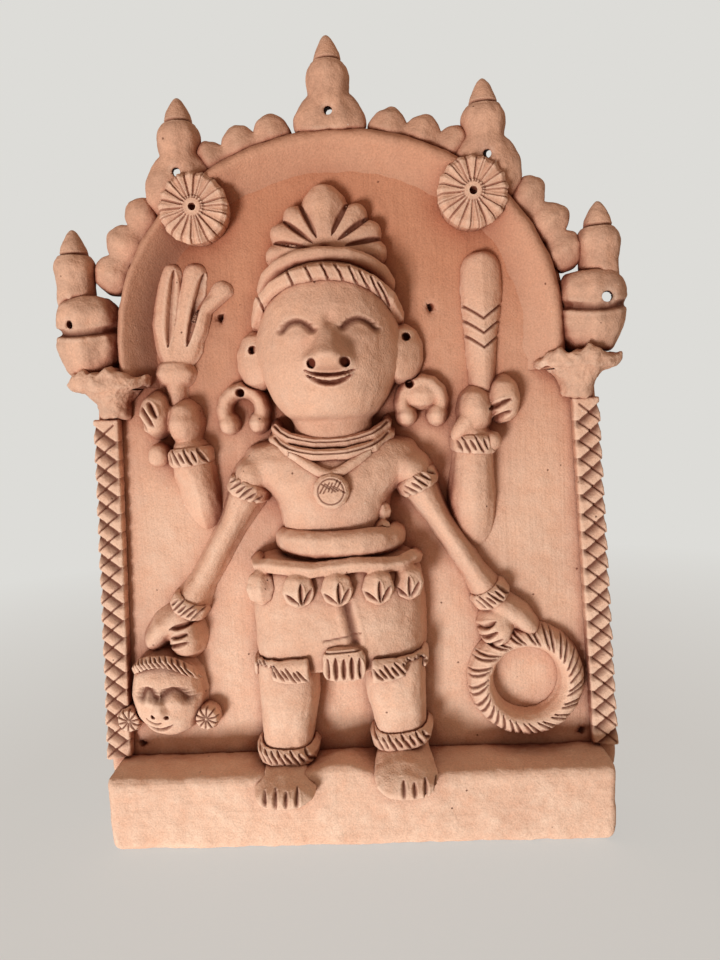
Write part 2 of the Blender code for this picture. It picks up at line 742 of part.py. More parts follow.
# Buds: pellets pinched to a blunt point and pressed side by side on the slab's edge
for word, side in SIDES:
    for level, middle in (("upper", UPPER_ROW_ANGLE), ("lower", LOWER_ROW_ANGLE)):
        degree = math.dist(arch_point(middle - 0.5, BUD_LINE_SIDE, BUD_LINE_TOP),
                           arch_point(middle + 0.5, BUD_LINE_SIDE, BUD_LINE_TOP))
        pitch = 0.75 * BUD_WIDTH / degree
        buds = []
        for k in range(BUDS_IN_ROW):
            turn = middle + (k - (BUDS_IN_ROW - 1) / 2) * pitch
            x, z = arch_point(side * turn, BUD_LINE_SIDE, BUD_LINE_TOP)
            bud = ball(0, 0, -BUD_DEPTH / 6, BUD_WIDTH / 2, BUD_LENGTH / 2, BUD_DEPTH / 2,
                       6, 4, -SLAB_THICKNESS)
            lean = math.radians(side * turn)
            for vertex in bud.verts:
                up = vertex.co.z
                across = vertex.co.x * (1 - BUD_PINCH * 2 * up / BUD_LENGTH)
                vertex.co.x = x + across * math.cos(lean) + up * math.sin(lean)
                vertex.co.z = z - across * math.sin(lean) + up * math.cos(lean)
            buds.append(bud)
        press_on(f"buds_{word}_{level}", buds, ARCH_CLAY)

# Rosettes: thick buttons fluted with a knife, bored in the middle
radius, boss, bore = ROSETTE_WIDTH / 2, ROSETTE_BOSS / 2, ROSETTE_BORE / 2
button = [(0.92 * radius, SEAT, 0), (radius, 0.78 * ROSETTE_DEPTH, 1),
          (0.88 * radius, 0.93 * ROSETTE_DEPTH, 1), (1.15 * boss, 0.88 * ROSETTE_DEPTH, 0.3),
          (0.95 * boss, ROSETTE_DEPTH, 0), (bore, ROSETTE_DEPTH, 0), (0.9 * bore, 0.6 * ROSETTE_DEPTH, 0)]
for word, side in SIDES:
    x = side * ROSETTE_SPREAD
    z = SPRING_HEIGHT + ARCH_RISE * math.sqrt(1 - (2 * x / ARCH_SPAN) ** 2) - ROSETTE_BELOW_RIM
    rosette = disc_facing_out(x, z, button, 2 * ROSETTE_PETALS, PETAL_GROOVE)
    press_on("rosette_" + word, [rosette], TRIM_CLAY)

# Torso and skirt: the two great masses of the figure, each through height, half width and depth
torso = [(WAIST_Z - TORSO_IN_SKIRT, WAIST_WIDTH / 2, 0.8 * CHEST_DEPTH),
         (WAIST_Z + 0.28 * TORSO_HEIGHT, WAIST_WIDTH / 2, 0.88 * CHEST_DEPTH),
         (WAIST_Z + 0.5 * TORSO_HEIGHT, CHEST_WIDTH / 2, CHEST_DEPTH),
         (WAIST_Z + 0.66 * TORSO_HEIGHT, 0.42 * SHOULDER_WIDTH, CHEST_DEPTH),
         (SHOULDER_Z, SHOULDER_WIDTH / 2, 0.87 * CHEST_DEPTH),
         (WAIST_Z + 0.92 * TORSO_HEIGHT, 0.46 * SHOULDER_WIDTH, 0.68 * CHEST_DEPTH),
         (NECK_Z, NECK_WIDTH / 2, 0.52 * CHEST_DEPTH)]
press_on("torso", [upright(FIGURE_X, torso, 10, 1, TORSO_FULLNESS)], FIGURE_CLAY)
skirt = [(HEM_Z - SKIRT_BELOW_HEM, 0.47 * SKIRT_WIDTH, 0.9 * SKIRT_DEPTH),
         (HEM_Z + 0.12 * SKIRT_HEIGHT, 0.5 * SKIRT_WIDTH, SKIRT_DEPTH),
         (HEM_Z + 0.55 * SKIRT_HEIGHT, 0.5 * SKIRT_WIDTH, SKIRT_DEPTH),
         (HEM_Z + 0.88 * SKIRT_HEIGHT, 0.48 * SKIRT_WIDTH, 0.97 * SKIRT_DEPTH),
         (WAIST_Z, 0.44 * SKIRT_WIDTH, 0.86 * SKIRT_DEPTH),
         (WAIST_Z + SKIRT_OVER_WAIST, 0.36 * SKIRT_WIDTH, 0.7 * SKIRT_DEPTH)]
press_on("skirt", [upright(FIGURE_X, skirt, 10, 1, SKIRT_FULLNESS)], FIGURE_CLAY)


def on_torso(x, z):
    """How far out the torso's front is at a place."""
    return front_of(FIGURE_X, torso, TORSO_FULLNESS, x, z)


def on_skirt(x, z):
    """How far out the skirt's front is at a place."""
    return front_of(FIGURE_X, skirt, SKIRT_FULLNESS, x, z)


# Legs and feet: tapered columns, with feet drawn out over the ledge's edge
SOLE = ((0.05, 0.0, 0.40, 0.5), (0.3, 0.05, 0.44, 0.5), (0.54, 0.2, 0.48, 0.47), (0.75, 0.42, 0.5, 0.41),
        (0.92, 0.74, 0.44, 0.31), (1.0, 1.0, 0.3, 0.16))
SOLE_FACETS = 8
for word, side in SIDES:
    drop = LEFT_LEG_LOWER if side == LEFT else 0.0
    droop = FOOT_DROOP - 0.6 * drop
    knee_x, ankle_x = FIGURE_X + side * LEG_SPREAD, FIGURE_X + side * ANKLE_SPREAD
    ankle_z = LEDGE_HEIGHT + ANKLE_ABOVE_LEDGE - drop
    column = [(HEM_Z + LEG_IN_SKIRT, knee_x, THIGH_WIDTH / 2, LEG_DEPTH),
              (HEM_Z - 0.35 * LEG_LENGTH, knee_x, THIGH_WIDTH / 2, 0.97 * LEG_DEPTH),
              (ankle_z + SHIN_ABOVE_ANKLE, ankle_x, ANKLE_WIDTH / 2, 0.87 * LEG_DEPTH),
              (ankle_z - LEG_IN_FOOT, ankle_x, ANKLE_WIDTH / 2, 0.85 * LEG_DEPTH)]
    leg = skin([seated_ring(x, z, half, depth, 8, LEG_FULLNESS)
                for z, x, half, depth in through(column, 2)])
    rings = []
    for reach, down, wide, high in SOLE:
        ring = []
        for k in range(SOLE_FACETS):
            turn = 2 * math.pi * k / SOLE_FACETS
            ring.append(at(ankle_x + FOOT_WIDTH * wide * math.cos(turn),
                           ankle_z - droop * down + FOOT_HEIGHT * high * math.sin(turn),
                           FOOT_REACH * reach))
        rings.append(ring)
    press_on("leg_" + word, [leg, skin(rings)], FIGURE_CLAY)
    band_z = LEDGE_HEIGHT + ANKLET_ABOVE_LEDGE - drop
    band = loop_round(ankle_x, ANKLE_WIDTH / 2 + ANKLET_PROUD, 0.87 * LEG_DEPTH + ANKLET_PROUD,
                      band_z, band_z, LEG_FULLNESS)
    press_on("anklet_" + word, [wrapped_coil(band, ANKLET_HEIGHT / 2, ANKLET_THICKNESS / 2, 5)], TRIM_CLAY)

# Waist roll and belt: a thick roll of cloth over a wavy cord hung with bells
roll_z = WAIST_Z + 0.68 * WAIST_ROLL_HEIGHT
roll = loop_round(FIGURE_X + WAIST_ROLL_SHIFT, WAIST_WIDTH / 2 + WAIST_ROLL_PROUD,
                  on_torso(FIGURE_X, roll_z) + WAIST_ROLL_PROUD, roll_z, roll_z, TORSO_FULLNESS)
press_on("waist_roll", [wrapped_coil(roll, WAIST_ROLL_HEIGHT / 2, WAIST_ROLL_THICKNESS / 2)], FIGURE_CLAY)
belt_z = WAIST_Z - 0.2 * BELT_CORD
belt_half = 0.47 * SKIRT_WIDTH
belt = loop_round(FIGURE_X, belt_half, 0.97 * SKIRT_DEPTH + BELT_PROUD, belt_z, belt_z, SKIRT_FULLNESS,
                  count=11, wave=BELT_WAVE)
belt_forms = [wrapped_coil(belt, BELT_CORD / 2, BELT_CORD / 2, 5)]
bell = BELL_WIDTH / 2
bell_z = belt_z - BELT_CORD / 2 - bell + BELL_LAP
for turn in BELL_TURNS:
    x = FIGURE_X + belt_half * math.sin(math.radians(turn))
    belt_forms.append(ball(x, bell_z, on_skirt(x, bell_z) + BELL_PROUD, bell, bell, 0.84 * bell, 6))
press_on("belt", belt_forms, TRIM_CLAY)
knot = KNOT_WIDTH / 2
knot_x, knot_z = FIGURE_X + 0.48 * WAIST_WIDTH, roll_z + 0.33 * WAIST_ROLL_HEIGHT
knot_out = on_torso(knot_x, knot_z) + KNOT_PROUD
knots = [ball(knot_x, knot_z + k * 0.9 * KNOT_WIDTH, knot_out - k * KNOT_STEP_BACK, knot, knot, knot)
         for k in range(2)]
press_on("sash_knot", knots, TRIM_CLAY)

# Hem of the skirt: a cut band on each side and a fringed tassel between them
for word, turns in (("left", HEM_LEFT_TURNS), ("right", HEM_RIGHT_TURNS)):
    band = loop_round(FIGURE_X, 0.485 * SKIRT_WIDTH, 0.96 * SKIRT_DEPTH, HEM_Z - HEM_DIP,
                      HEM_Z + HEM_SIDE_RISE, SKIRT_FULLNESS, turns, 8)
    press_on("hem_band_" + word, [wrapped_coil(band, HEM_HEIGHT / 2, HEM_THICKNESS / 2)], TRIM_CLAY)
tassel = ball(FIGURE_X + TASSEL_SHIFT, HEM_Z + 0.22 * TASSEL_HEIGHT, SKIRT_DEPTH, TASSEL_WIDTH / 2,
              TASSEL_HEIGHT / 2, TASSEL_THICKNESS, 10, 5, fullness=TASSEL_FULLNESS)
press_on("hem_tassel", [tassel], TRIM_CLAY)

# Head and neck, with the nose drawn out of it, through height, half width and depth
head = [(NECK_Z - NECK_IN_TORSO, NECK_WIDTH / 2, 0.5 * HEAD_DEPTH),
        (HEAD_Z - 0.01 * HEAD_HEIGHT, 0.48 * NECK_WIDTH, 0.54 * HEAD_DEPTH),
        (HEAD_Z + 0.03 * HEAD_HEIGHT, 0.36 * HEAD_WIDTH, 0.8 * HEAD_DEPTH),
        (HEAD_Z + 0.13 * HEAD_HEIGHT, 0.44 * HEAD_WIDTH, 0.93 * HEAD_DEPTH),
        (HEAD_Z + 0.3 * HEAD_HEIGHT, 0.495 * HEAD_WIDTH, HEAD_DEPTH),
        (HEAD_Z + 0.48 * HEAD_HEIGHT, 0.5 * HEAD_WIDTH, HEAD_DEPTH),
        (HEAD_Z + 0.64 * HEAD_HEIGHT, 0.49 * HEAD_WIDTH, 0.95 * HEAD_DEPTH),
        (HEAD_Z + 0.8 * HEAD_HEIGHT, 0.43 * HEAD_WIDTH, 0.82 * HEAD_DEPTH),
        (HEAD_Z + 0.92 * HEAD_HEIGHT, 0.3 * HEAD_WIDTH, 0.6 * HEAD_DEPTH),
        (HEAD_Z + HEAD_HEIGHT, 0.1 * HEAD_WIDTH, 0.35 * HEAD_DEPTH)]
nose_z = HEAD_Z + 0.28 * HEAD_HEIGHT
nose = [(nose_z, 0.3 * NOSE_WIDTH, HEAD_DEPTH + 0.3 * NOSE_PROUD),
        (nose_z + 0.07 * NOSE_LENGTH, 0.5 * NOSE_WIDTH, HEAD_DEPTH + NOSE_PROUD),
        (nose_z + 0.3 * NOSE_LENGTH, 0.42 * NOSE_WIDTH, HEAD_DEPTH + 0.92 * NOSE_PROUD),
        (nose_z + 0.6 * NOSE_LENGTH, 0.24 * NOSE_WIDTH, HEAD_DEPTH + 0.5 * NOSE_PROUD),
        (nose_z + NOSE_LENGTH, 0.14 * NOSE_WIDTH, 0.95 * HEAD_DEPTH)]
press_on("head", [upright(HEAD_X, head, 12, 1, HEAD_FULLNESS),
                  upright(HEAD_X + NOSE_SHIFT, nose, 7, 1, NOSE_FULLNESS)], FIGURE_CLAY)


def on_head(x, z):
    """How far out the face is at a place."""
    return front_of(HEAD_X, head, HEAD_FULLNESS, x, z)


# Ears and earrings: pinched flaps, each with a looped coil that ends in two pellets. The right
# loop was filled with a thumb of clay
for word, side in SIDES:
    ear_x = HEAD_X + side * (HEAD_WIDTH / 2 + 0.34 * EAR_WIDTH)
    ear_z = HEAD_Z + 0.37 * HEAD_HEIGHT
    flap = dome(ear_x, ear_z, EAR_WIDTH / 2, EAR_HEIGHT / 2, EAR_DEPTH, 8, 5, HAND_FULLNESS)
    press_on("ear_" + word, [flap], FIGURE_CLAY)
    ring_x, ring_z = ear_x + side * 0.38 * EAR_WIDTH, ear_z - EAR_HEIGHT / 2 - 0.32 * EARRING_WIDTH
    radius, pellet = (EARRING_WIDTH - EARRING_COIL) / 2, EARRING_PELLET / 2
    coil = [(ring_x + radius * math.cos(math.radians(turn)), ring_z + radius * math.sin(math.radians(turn)),
             EARRING_COIL / 2, 1.1 * EARRING_COIL) for turn in range(-30, 211, 30)]
    forms = [laid_coil(coil, 5, 1)]
    forms += [dome(ring_x + k * 0.27 * EARRING_WIDTH, ring_z - 0.24 * EARRING_WIDTH, pellet, pellet,
                   EARRING_PELLET, 6, 4) for k in (-1, 1)]
    if side == RIGHT:
        forms.append(dome(ring_x, ring_z + 0.12 * EARRING_WIDTH, 0.4 * EARRING_WIDTH,
                          0.26 * EARRING_WIDTH, 1.3 * EARRING_COIL, 7, 4))
    press_on("earring_" + word, forms, TRIM_CLAY)

# Headband, turban coil and crest, set one above the other over the brow
band_z = HEAD_Z + 0.83 * HEAD_HEIGHT
band = loop_round(HEAD_X, HEAD_WIDTH / 2 + HEADBAND_PROUD, on_head(HEAD_X, band_z) + HEADBAND_PROUD,
                  band_z, band_z - HEADBAND_SLOPE, COIL_FULLNESS)
press_on("headband", [wrapped_coil(band, HEADBAND_COIL / 2, HEADBAND_COIL / 2)], TRIM_CLAY)
turban_z = band_z + TURBAN_ABOVE_BAND
turban = loop_round(HEAD_X, 0.475 * HEAD_WIDTH, on_head(HEAD_X, turban_z) + TURBAN_PROUD,
                    turban_z, turban_z - TURBAN_SLOPE, COIL_FULLNESS)
press_on("turban_coil", [wrapped_coil(turban, TURBAN_COIL / 2, TURBAN_COIL / 2)], FIGURE_CLAY)
crest_x, crest_z = HEAD_X + CREST_SHIFT, turban_z + 0.3 * TURBAN_COIL


def lobe(turn_deg, length, width):
    """One lobe of the fan, from its root out to a rounded tip."""
    across, up = math.sin(math.radians(turn_deg)), math.cos(math.radians(turn_deg))
    tip = length - 0.3 * width
    rows = [(0.12, 0.3, 1.0), (0.5, 0.42, 0.95), (0.82, 0.5, 0.8), (1.0, 0.42, 0.66),
            (1.0 + 0.2 * width / tip, 0.2, 0.45)]
    return laid_coil([(crest_x + across * tip * out, crest_z + up * tip * out, width * wide,
                       CREST_DEPTH * deep) for out, wide, deep in rows], 5, 1, False)


fan = [lobe(0, CREST_LENGTH, CREST_TOP_WIDTH)]
fan += [lobe(turn, 0.85 * CREST_LENGTH, CREST_LOBE_WIDTH) for turn in CREST_LEFT_TURNS + CREST_RIGHT_TURNS]
press_on("crest", fan, FIGURE_CLAY)

# Necklaces: a double choker, and a cord that hangs in a V to a scored disc
neck_x = FIGURE_X + NECKLACE_SHIFT
strands = []
for k in range(2):
    front_z = NECK_Z - CHOKER_BELOW_NECK - k * 0.95 * CHOKER_COIL
    strand = loop_round(neck_x, (CHOKER_WIDTH + k * CHOKER_STEP) / 2,
                        on_torso(FIGURE_X, front_z) + CHOKER_PROUD, front_z, front_z + CHOKER_SLOPE,
                        COIL_FULLNESS, count=7)
    strands.append(wrapped_coil(strand, CHOKER_COIL / 2, CHOKER_COIL / 2, 5))
press_on("choker", strands, TRIM_CLAY)
cord_z = NECK_Z - CORD_BELOW_NECK
cord = []
for k in range(-6, 7):
    share = k / 6
    x, z = neck_x + CORD_WIDTH / 2 * share, cord_z + CORD_DROP * (math.sqrt(share ** 2 + 0.02) - 0.14)
    cord.append(at(x, z, on_torso(x, z) + CORD_PROUD))
press_on("pendant_cord", [wrapped_coil(cord, CORD_COIL / 2, CORD_COIL / 2, 5)], TRIM_CLAY)
pendant_z = cord_z - 0.42 * PENDANT_WIDTH
lap, radius = on_torso(neck_x, pendant_z), PENDANT_WIDTH / 2
disc = [(0.9 * radius, lap - PENDANT_THICKNESS, 0), (radius, lap, 0),
        (0.97 * radius, lap + 0.55 * PENDANT_THICKNESS, 0),
        (0.78 * radius, lap + 0.85 * PENDANT_THICKNESS, 0),
        (0.2 * radius, lap + 0.9 * PENDANT_THICKNESS, 0)]
press_on("pendant", [disc_facing_out(neck_x, pendant_z, disc, 11)], TRIM_CLAY)


# Arms: the lower pair hangs, the upper pair is raised from behind it; hands are lumps with a thumb
def band_across(path, share):
    """A band wrapped over an arm part of the way along it."""
    rows = through(path, 8)
    k = round(share * (len(rows) - 1))
    x, z, half, depth = rows[k]
    before, after = rows[max(k - 1, 0)], rows[min(k + 1, len(rows) - 1)]
    run = Vector((after[0] - before[0], after[1] - before[1])).normalized() * BAND_HEIGHT / 2
    swell = ((-1, 0.45), (-0.6, 1), (0.6, 1), (1, 0.45))
    return laid_coil([(x + run.x * along, z + run.y * along, half + BAND_THICKNESS * proud,
                       depth + BAND_THICKNESS * proud) for along, proud in swell], 6, 1, False)


THUMB = ((0.2, 0.2, 0.5, 1.0), (0.8, 0.5, 0.5, 1.0), (1.1, 0.8, 0.42, 0.8))
held_above, held_below = {}, {}
for word, side in SIDES:
    shoulder_x = FIGURE_X + side * (SHOULDER_WIDTH / 2 - 0.3 * ARM_WIDTH)
    wrist_x = shoulder_x + side * (LOWER_WRIST_OUT + 0.3 * ARM_WIDTH)
    wrist_z = SHOULDER_Z - LOWER_WRIST_DOWN
    elbow_x, elbow_z = shoulder_x + side * 0.36 * LOWER_WRIST_OUT, SHOULDER_Z - 0.42 * LOWER_WRIST_DOWN
    lower = [(shoulder_x, SHOULDER_Z - ARM_BELOW_SHOULDER, 0.6 * ARM_WIDTH, 1.1 * ARM_DEPTH),
             (elbow_x, elbow_z, 0.5 * ARM_WIDTH, ARM_DEPTH),
             (wrist_x, wrist_z, WRIST_WIDTH / 2, WRIST_DEPTH)]
    palm = dome(wrist_x + side * LOWER_PALM_SHIFT, wrist_z - 0.72 * HAND_LENGTH, HAND_WIDTH / 2,
                HAND_LENGTH / 2, 1.15 * WRIST_DEPTH, 7, 4, HAND_FULLNESS)
    thumb = [(wrist_x + side * across * HAND_WIDTH, wrist_z - down * HAND_LENGTH, wide * THUMB_WIDTH,
              deep * WRIST_DEPTH) for across, down, wide, deep in THUMB]
    press_on("arm_lower_" + word, [laid_coil(lower), palm, laid_coil(thumb, 6, 1)], FIGURE_CLAY)
    press_on("armlet_" + word, [band_across(lower, ARMLET_DOWN)], TRIM_CLAY)
    press_on("bracelet_lower_" + word, [band_across(lower, LOWER_BRACELET_DOWN)], TRIM_CLAY)
    raised_x, raised_z = elbow_x + side * FOREARM_OUT, wrist_z + 0.3 * LOWER_WRIST_DOWN
    hand_x, hand_z = raised_x + side * FOREARM_LEAN, raised_z + FOREARM_LENGTH
    upper = [(raised_x, raised_z, 0.34 * FOREARM_WIDTH, 0.55 * ARM_DEPTH),
             (raised_x, raised_z + FOREARM_LENGTH / 2, 0.5 * FOREARM_WIDTH, 0.85 * ARM_DEPTH),
             (hand_x, hand_z, 0.44 * FOREARM_WIDTH, 0.8 * ARM_DEPTH)]
    palm = dome(hand_x + side * UPPER_PALM_SHIFT, hand_z + 0.65 * HAND_LENGTH, HAND_WIDTH / 2,
                HAND_LENGTH / 2, 1.2 * WRIST_DEPTH, 7, 4)
    fingers = dome(hand_x + side * 0.88 * HAND_WIDTH, hand_z + 0.85 * HAND_LENGTH, 0.46 * HAND_WIDTH,
                   HAND_LENGTH / 2, 1.1 * WRIST_DEPTH, 7, 4, HAND_FULLNESS)
    press_on("arm_upper_" + word, [laid_coil(upper, 6, 2), palm, fingers], FIGURE_CLAY)
    press_on("bracelet_upper_" + word, [band_across(upper, UPPER_BRACELET_UP)], TRIM_CLAY)
    held_above[side] = (hand_x + side * 0.3 * HAND_WIDTH, hand_z + HAND_LENGTH)
    held_below[side] = (wrist_x + side * 0.5 * HAND_WIDTH, wrist_z - HAND_LENGTH)

# Trident, in low relief above the upper left hand, on a capped ferrule. Its prongs are broad and
# run together below
x, z = held_above[LEFT]
prong, reach = TRIDENT_PRONG / 2, TRIDENT_LENGTH
fork = [laid_coil([(x, z + 0.3 * reach, 0.8 * prong, TRIDENT_DEPTH),
                   (x + bow * TRIDENT_WIDTH, z + 0.6 * reach, prong, TRIDENT_DEPTH),
                   (x + tip * TRIDENT_WIDTH, z + up * reach, 0.75 * prong, 0.7 * TRIDENT_DEPTH)], 4, 2)
        for bow, tip, up in ((-0.12, 0.02, 0.98), (0.24, 0.42, 0.97), (0.6, 0.84, 0.83))]
cap = dome(x, z + 0.25 * reach, FERRULE_WIDTH / 2, 0.36 * FERRULE_WIDTH, FERRULE_DEPTH, 7, 4, HAND_FULLNESS)
stem = laid_coil([(x, z - FERRULE_IN_HAND, 0.2 * FERRULE_WIDTH, 0.75 * FERRULE_DEPTH),
                  (x, z + 0.25 * reach, 0.26 * FERRULE_WIDTH, 0.8 * FERRULE_DEPTH)], 5, 1)
press_on("trident", [cap, stem, *fork], FIGURE_CLAY)

# Club: a flat bat, wider at its rounded head
x, z = held_above[RIGHT]
bat = [(x, z - CLUB_IN_HAND, CLUB_GRIP_WIDTH / 2, 0.9 * CLUB_DEPTH),
       (x, z + 0.4 * CLUB_LENGTH, 0.38 * CLUB_HEAD_WIDTH, CLUB_DEPTH),
       (x + CLUB_LEAN, z + 0.72 * CLUB_LENGTH, CLUB_HEAD_WIDTH / 2, CLUB_DEPTH),
       (x + CLUB_LEAN, z + CLUB_LENGTH - 0.36 * CLUB_HEAD_WIDTH, 0.48 * CLUB_HEAD_WIDTH, 0.9 * CLUB_DEPTH)]
press_on("club", [laid_coil(bat, 6, 2)], FIGURE_CLAY)

# Trophy head hung from the lower left hand, with its band and two disc earrings
x, z = held_below[LEFT]
x -= TROPHY_SHIFT
z -= TROPHY_HEIGHT / 2
trophy = dome(x, z, TROPHY_WIDTH / 2, TROPHY_HEIGHT / 2, TROPHY_DEPTH, 9, 6, HEAD_FULLNESS)
press_on("trophy_head", [trophy], FIGURE_CLAY)
band_z = z + 0.42 * TROPHY_HEIGHT
band = loop_round(x, 0.4 * TROPHY_WIDTH, 0.66 * TROPHY_DEPTH, band_z, band_z - 0.14 * TROPHY_HEIGHT,
                  COIL_FULLNESS, count=7)
press_on("trophy_headband", [wrapped_coil(band, TROPHY_BAND / 2, TROPHY_BAND / 2, 5)], TRIM_CLAY)
radius, depth = TROPHY_EARRING_WIDTH / 2, TROPHY_EARRING_DEPTH
stud = [(0.9 * radius, SEAT, 0), (radius, 0.6 * depth, 0), (0.8 * radius, depth, 0),
        (0.2 * radius, 1.02 * depth, 0)]
for word, side in SIDES:
    disc = disc_facing_out(x + side * 0.52 * TROPHY_WIDTH, z - 0.28 * TROPHY_HEIGHT, stud, 10)
    press_on("trophy_earring_" + word, [disc], TRIM_CLAY)

# Rope ring: a closed coil that hangs from the lower right hand
RING_SIDES, COIL_SIDES = 18, 6
x, z = held_below[RIGHT]
x += 0.5 * HAND_WIDTH
z += 0.45 * RING_COIL - RING_WIDTH / 2
rings = []
for k in range(RING_SIDES):
    turn = 2 * math.pi * k / RING_SIDES
    ring = []
    for j in range(COIL_SIDES + 1):
        tilt = math.pi * j / COIL_SIDES
        radius = (RING_WIDTH - RING_COIL) / 2 + RING_COIL / 2 * math.cos(tilt)
        ring.append(at(x + radius * math.sin(turn), z + radius * math.cos(turn),
                       SEAT + (RING_DEPTH - SEAT) * math.sin(tilt)))
    rings.append(ring)
press_on("rope_ring", [skin(rings, closed=True)], TRIM_CLAY)
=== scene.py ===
"""Looks of the terracotta deity relief, put together in the order in which the maker pressed it.

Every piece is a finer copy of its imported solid, rubbed smooth, and then scored, poked and pressed
with the few tools that a modeller has: a knife, a stick, a thumb. Lengths are in millimetres, as
across, out from the slab's face, and up, until they go back into a mesh.
"""

import math

import bmesh
import bpy
import numpy as np
from mathutils import Matrix, Vector


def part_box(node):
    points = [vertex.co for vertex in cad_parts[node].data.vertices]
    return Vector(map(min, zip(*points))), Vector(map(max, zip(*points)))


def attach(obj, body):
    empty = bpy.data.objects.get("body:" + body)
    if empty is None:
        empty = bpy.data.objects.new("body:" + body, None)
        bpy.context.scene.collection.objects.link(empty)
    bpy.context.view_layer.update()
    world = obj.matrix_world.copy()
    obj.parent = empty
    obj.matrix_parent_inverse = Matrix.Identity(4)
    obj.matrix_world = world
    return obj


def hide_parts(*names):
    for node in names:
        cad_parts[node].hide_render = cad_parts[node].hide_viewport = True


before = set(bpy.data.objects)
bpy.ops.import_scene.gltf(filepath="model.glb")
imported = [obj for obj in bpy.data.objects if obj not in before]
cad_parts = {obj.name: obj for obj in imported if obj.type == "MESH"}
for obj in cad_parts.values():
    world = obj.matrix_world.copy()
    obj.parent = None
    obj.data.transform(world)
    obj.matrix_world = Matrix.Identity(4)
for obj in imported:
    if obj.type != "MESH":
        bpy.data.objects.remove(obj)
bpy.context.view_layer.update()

# Backing slab
# A sheet of red earthenware, rolled out, cut to an arch and wiped with wet fingers. All else is
# pressed on to it, and four holes go through it for nails or wire.
MM = 0.001
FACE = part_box("backing_slab")[0].y / MM
NAIL_PLACES = ((-69.0, 304.0), (53.0, 304.0), (-134.9, 49.0), (134.9, 49.0))
NAIL_HOLE = 2.3
NAIL_SLANT = 5.0
NEAR_HOLE = 1.2
OPENED_HOLE = 3.9
RING_HOLLOW = 22.0
SHADOW_LEFT_OF = 58.0
SHADOW_SIDE_FADE = 48.0
SHADOW_ABOVE = 250.0
SHADOW_RISE_FADE = 50.0
NICHE_SHADOW = 0.7
CLAY = "#DDA98C"
FLUSHED_AND_SHADED_CLAY = "#C08060"
DUSTY_AND_LIT_CLAY = "#F6DDC9"
SHADED_CLAY = "#963F1F"
DARK_CLAY = "#5A2614"
SMOKE = "#94735F"
PALE_FLECK = "#F4E6D8"
FIRED_PATCH = 60.0
MOTTLE = 11.0
GRIT = 1.0
FLECK_SPACING = 9.0
WORN_AND_LIT_EDGE = 3.0
SHADED_CORNER = 16.0
DUST_AND_LIGHT_TOP = 640.0
TOP_SHADE_FROM = 200.0
TOP_SHADE_FULL = 330.0


def linear(hex_colour):
    """An sRGB hex colour as linear red, green, blue and alpha."""
    parts = [int(hex_colour[k:k + 2], 16) / 255 for k in (1, 3, 5)]
    return tuple(p / 12.92 if p <= 0.04045 else ((p + 0.055) / 1.055) ** 2.4 for p in parts) + (1.0,)


def add(tree, kind, sockets, **settings):
    """One shader node with its settings; each socket gets a value, or a link from another node."""
    node = tree.nodes.new("ShaderNode" + kind)
    for name, value in settings.items():
        setattr(node, name, value)
    for name, value in sockets.items():
        if isinstance(value, bpy.types.Node):
            value = value.outputs[0]
        if isinstance(value, bpy.types.NodeSocket):
            tree.links.new(value, node.inputs[name])
        else:
            node.inputs[name].default_value = value
    return node


def ramp(tree, value, start, end, low=0.0, high=1.0):
    """A share that goes from low to high while a value goes from start to end."""
    return add(tree, "MapRange", {"Value": value, "From Min": start, "From Max": end, "To Min": low,
                                  "To Max": high})


def tint(tree, share, colour, hex_colour):
    """A colour with a share of another laid over it."""
    return add(tree, "MixRGB", {"Fac": share, "Color1": colour, "Color2": linear(hex_colour)})


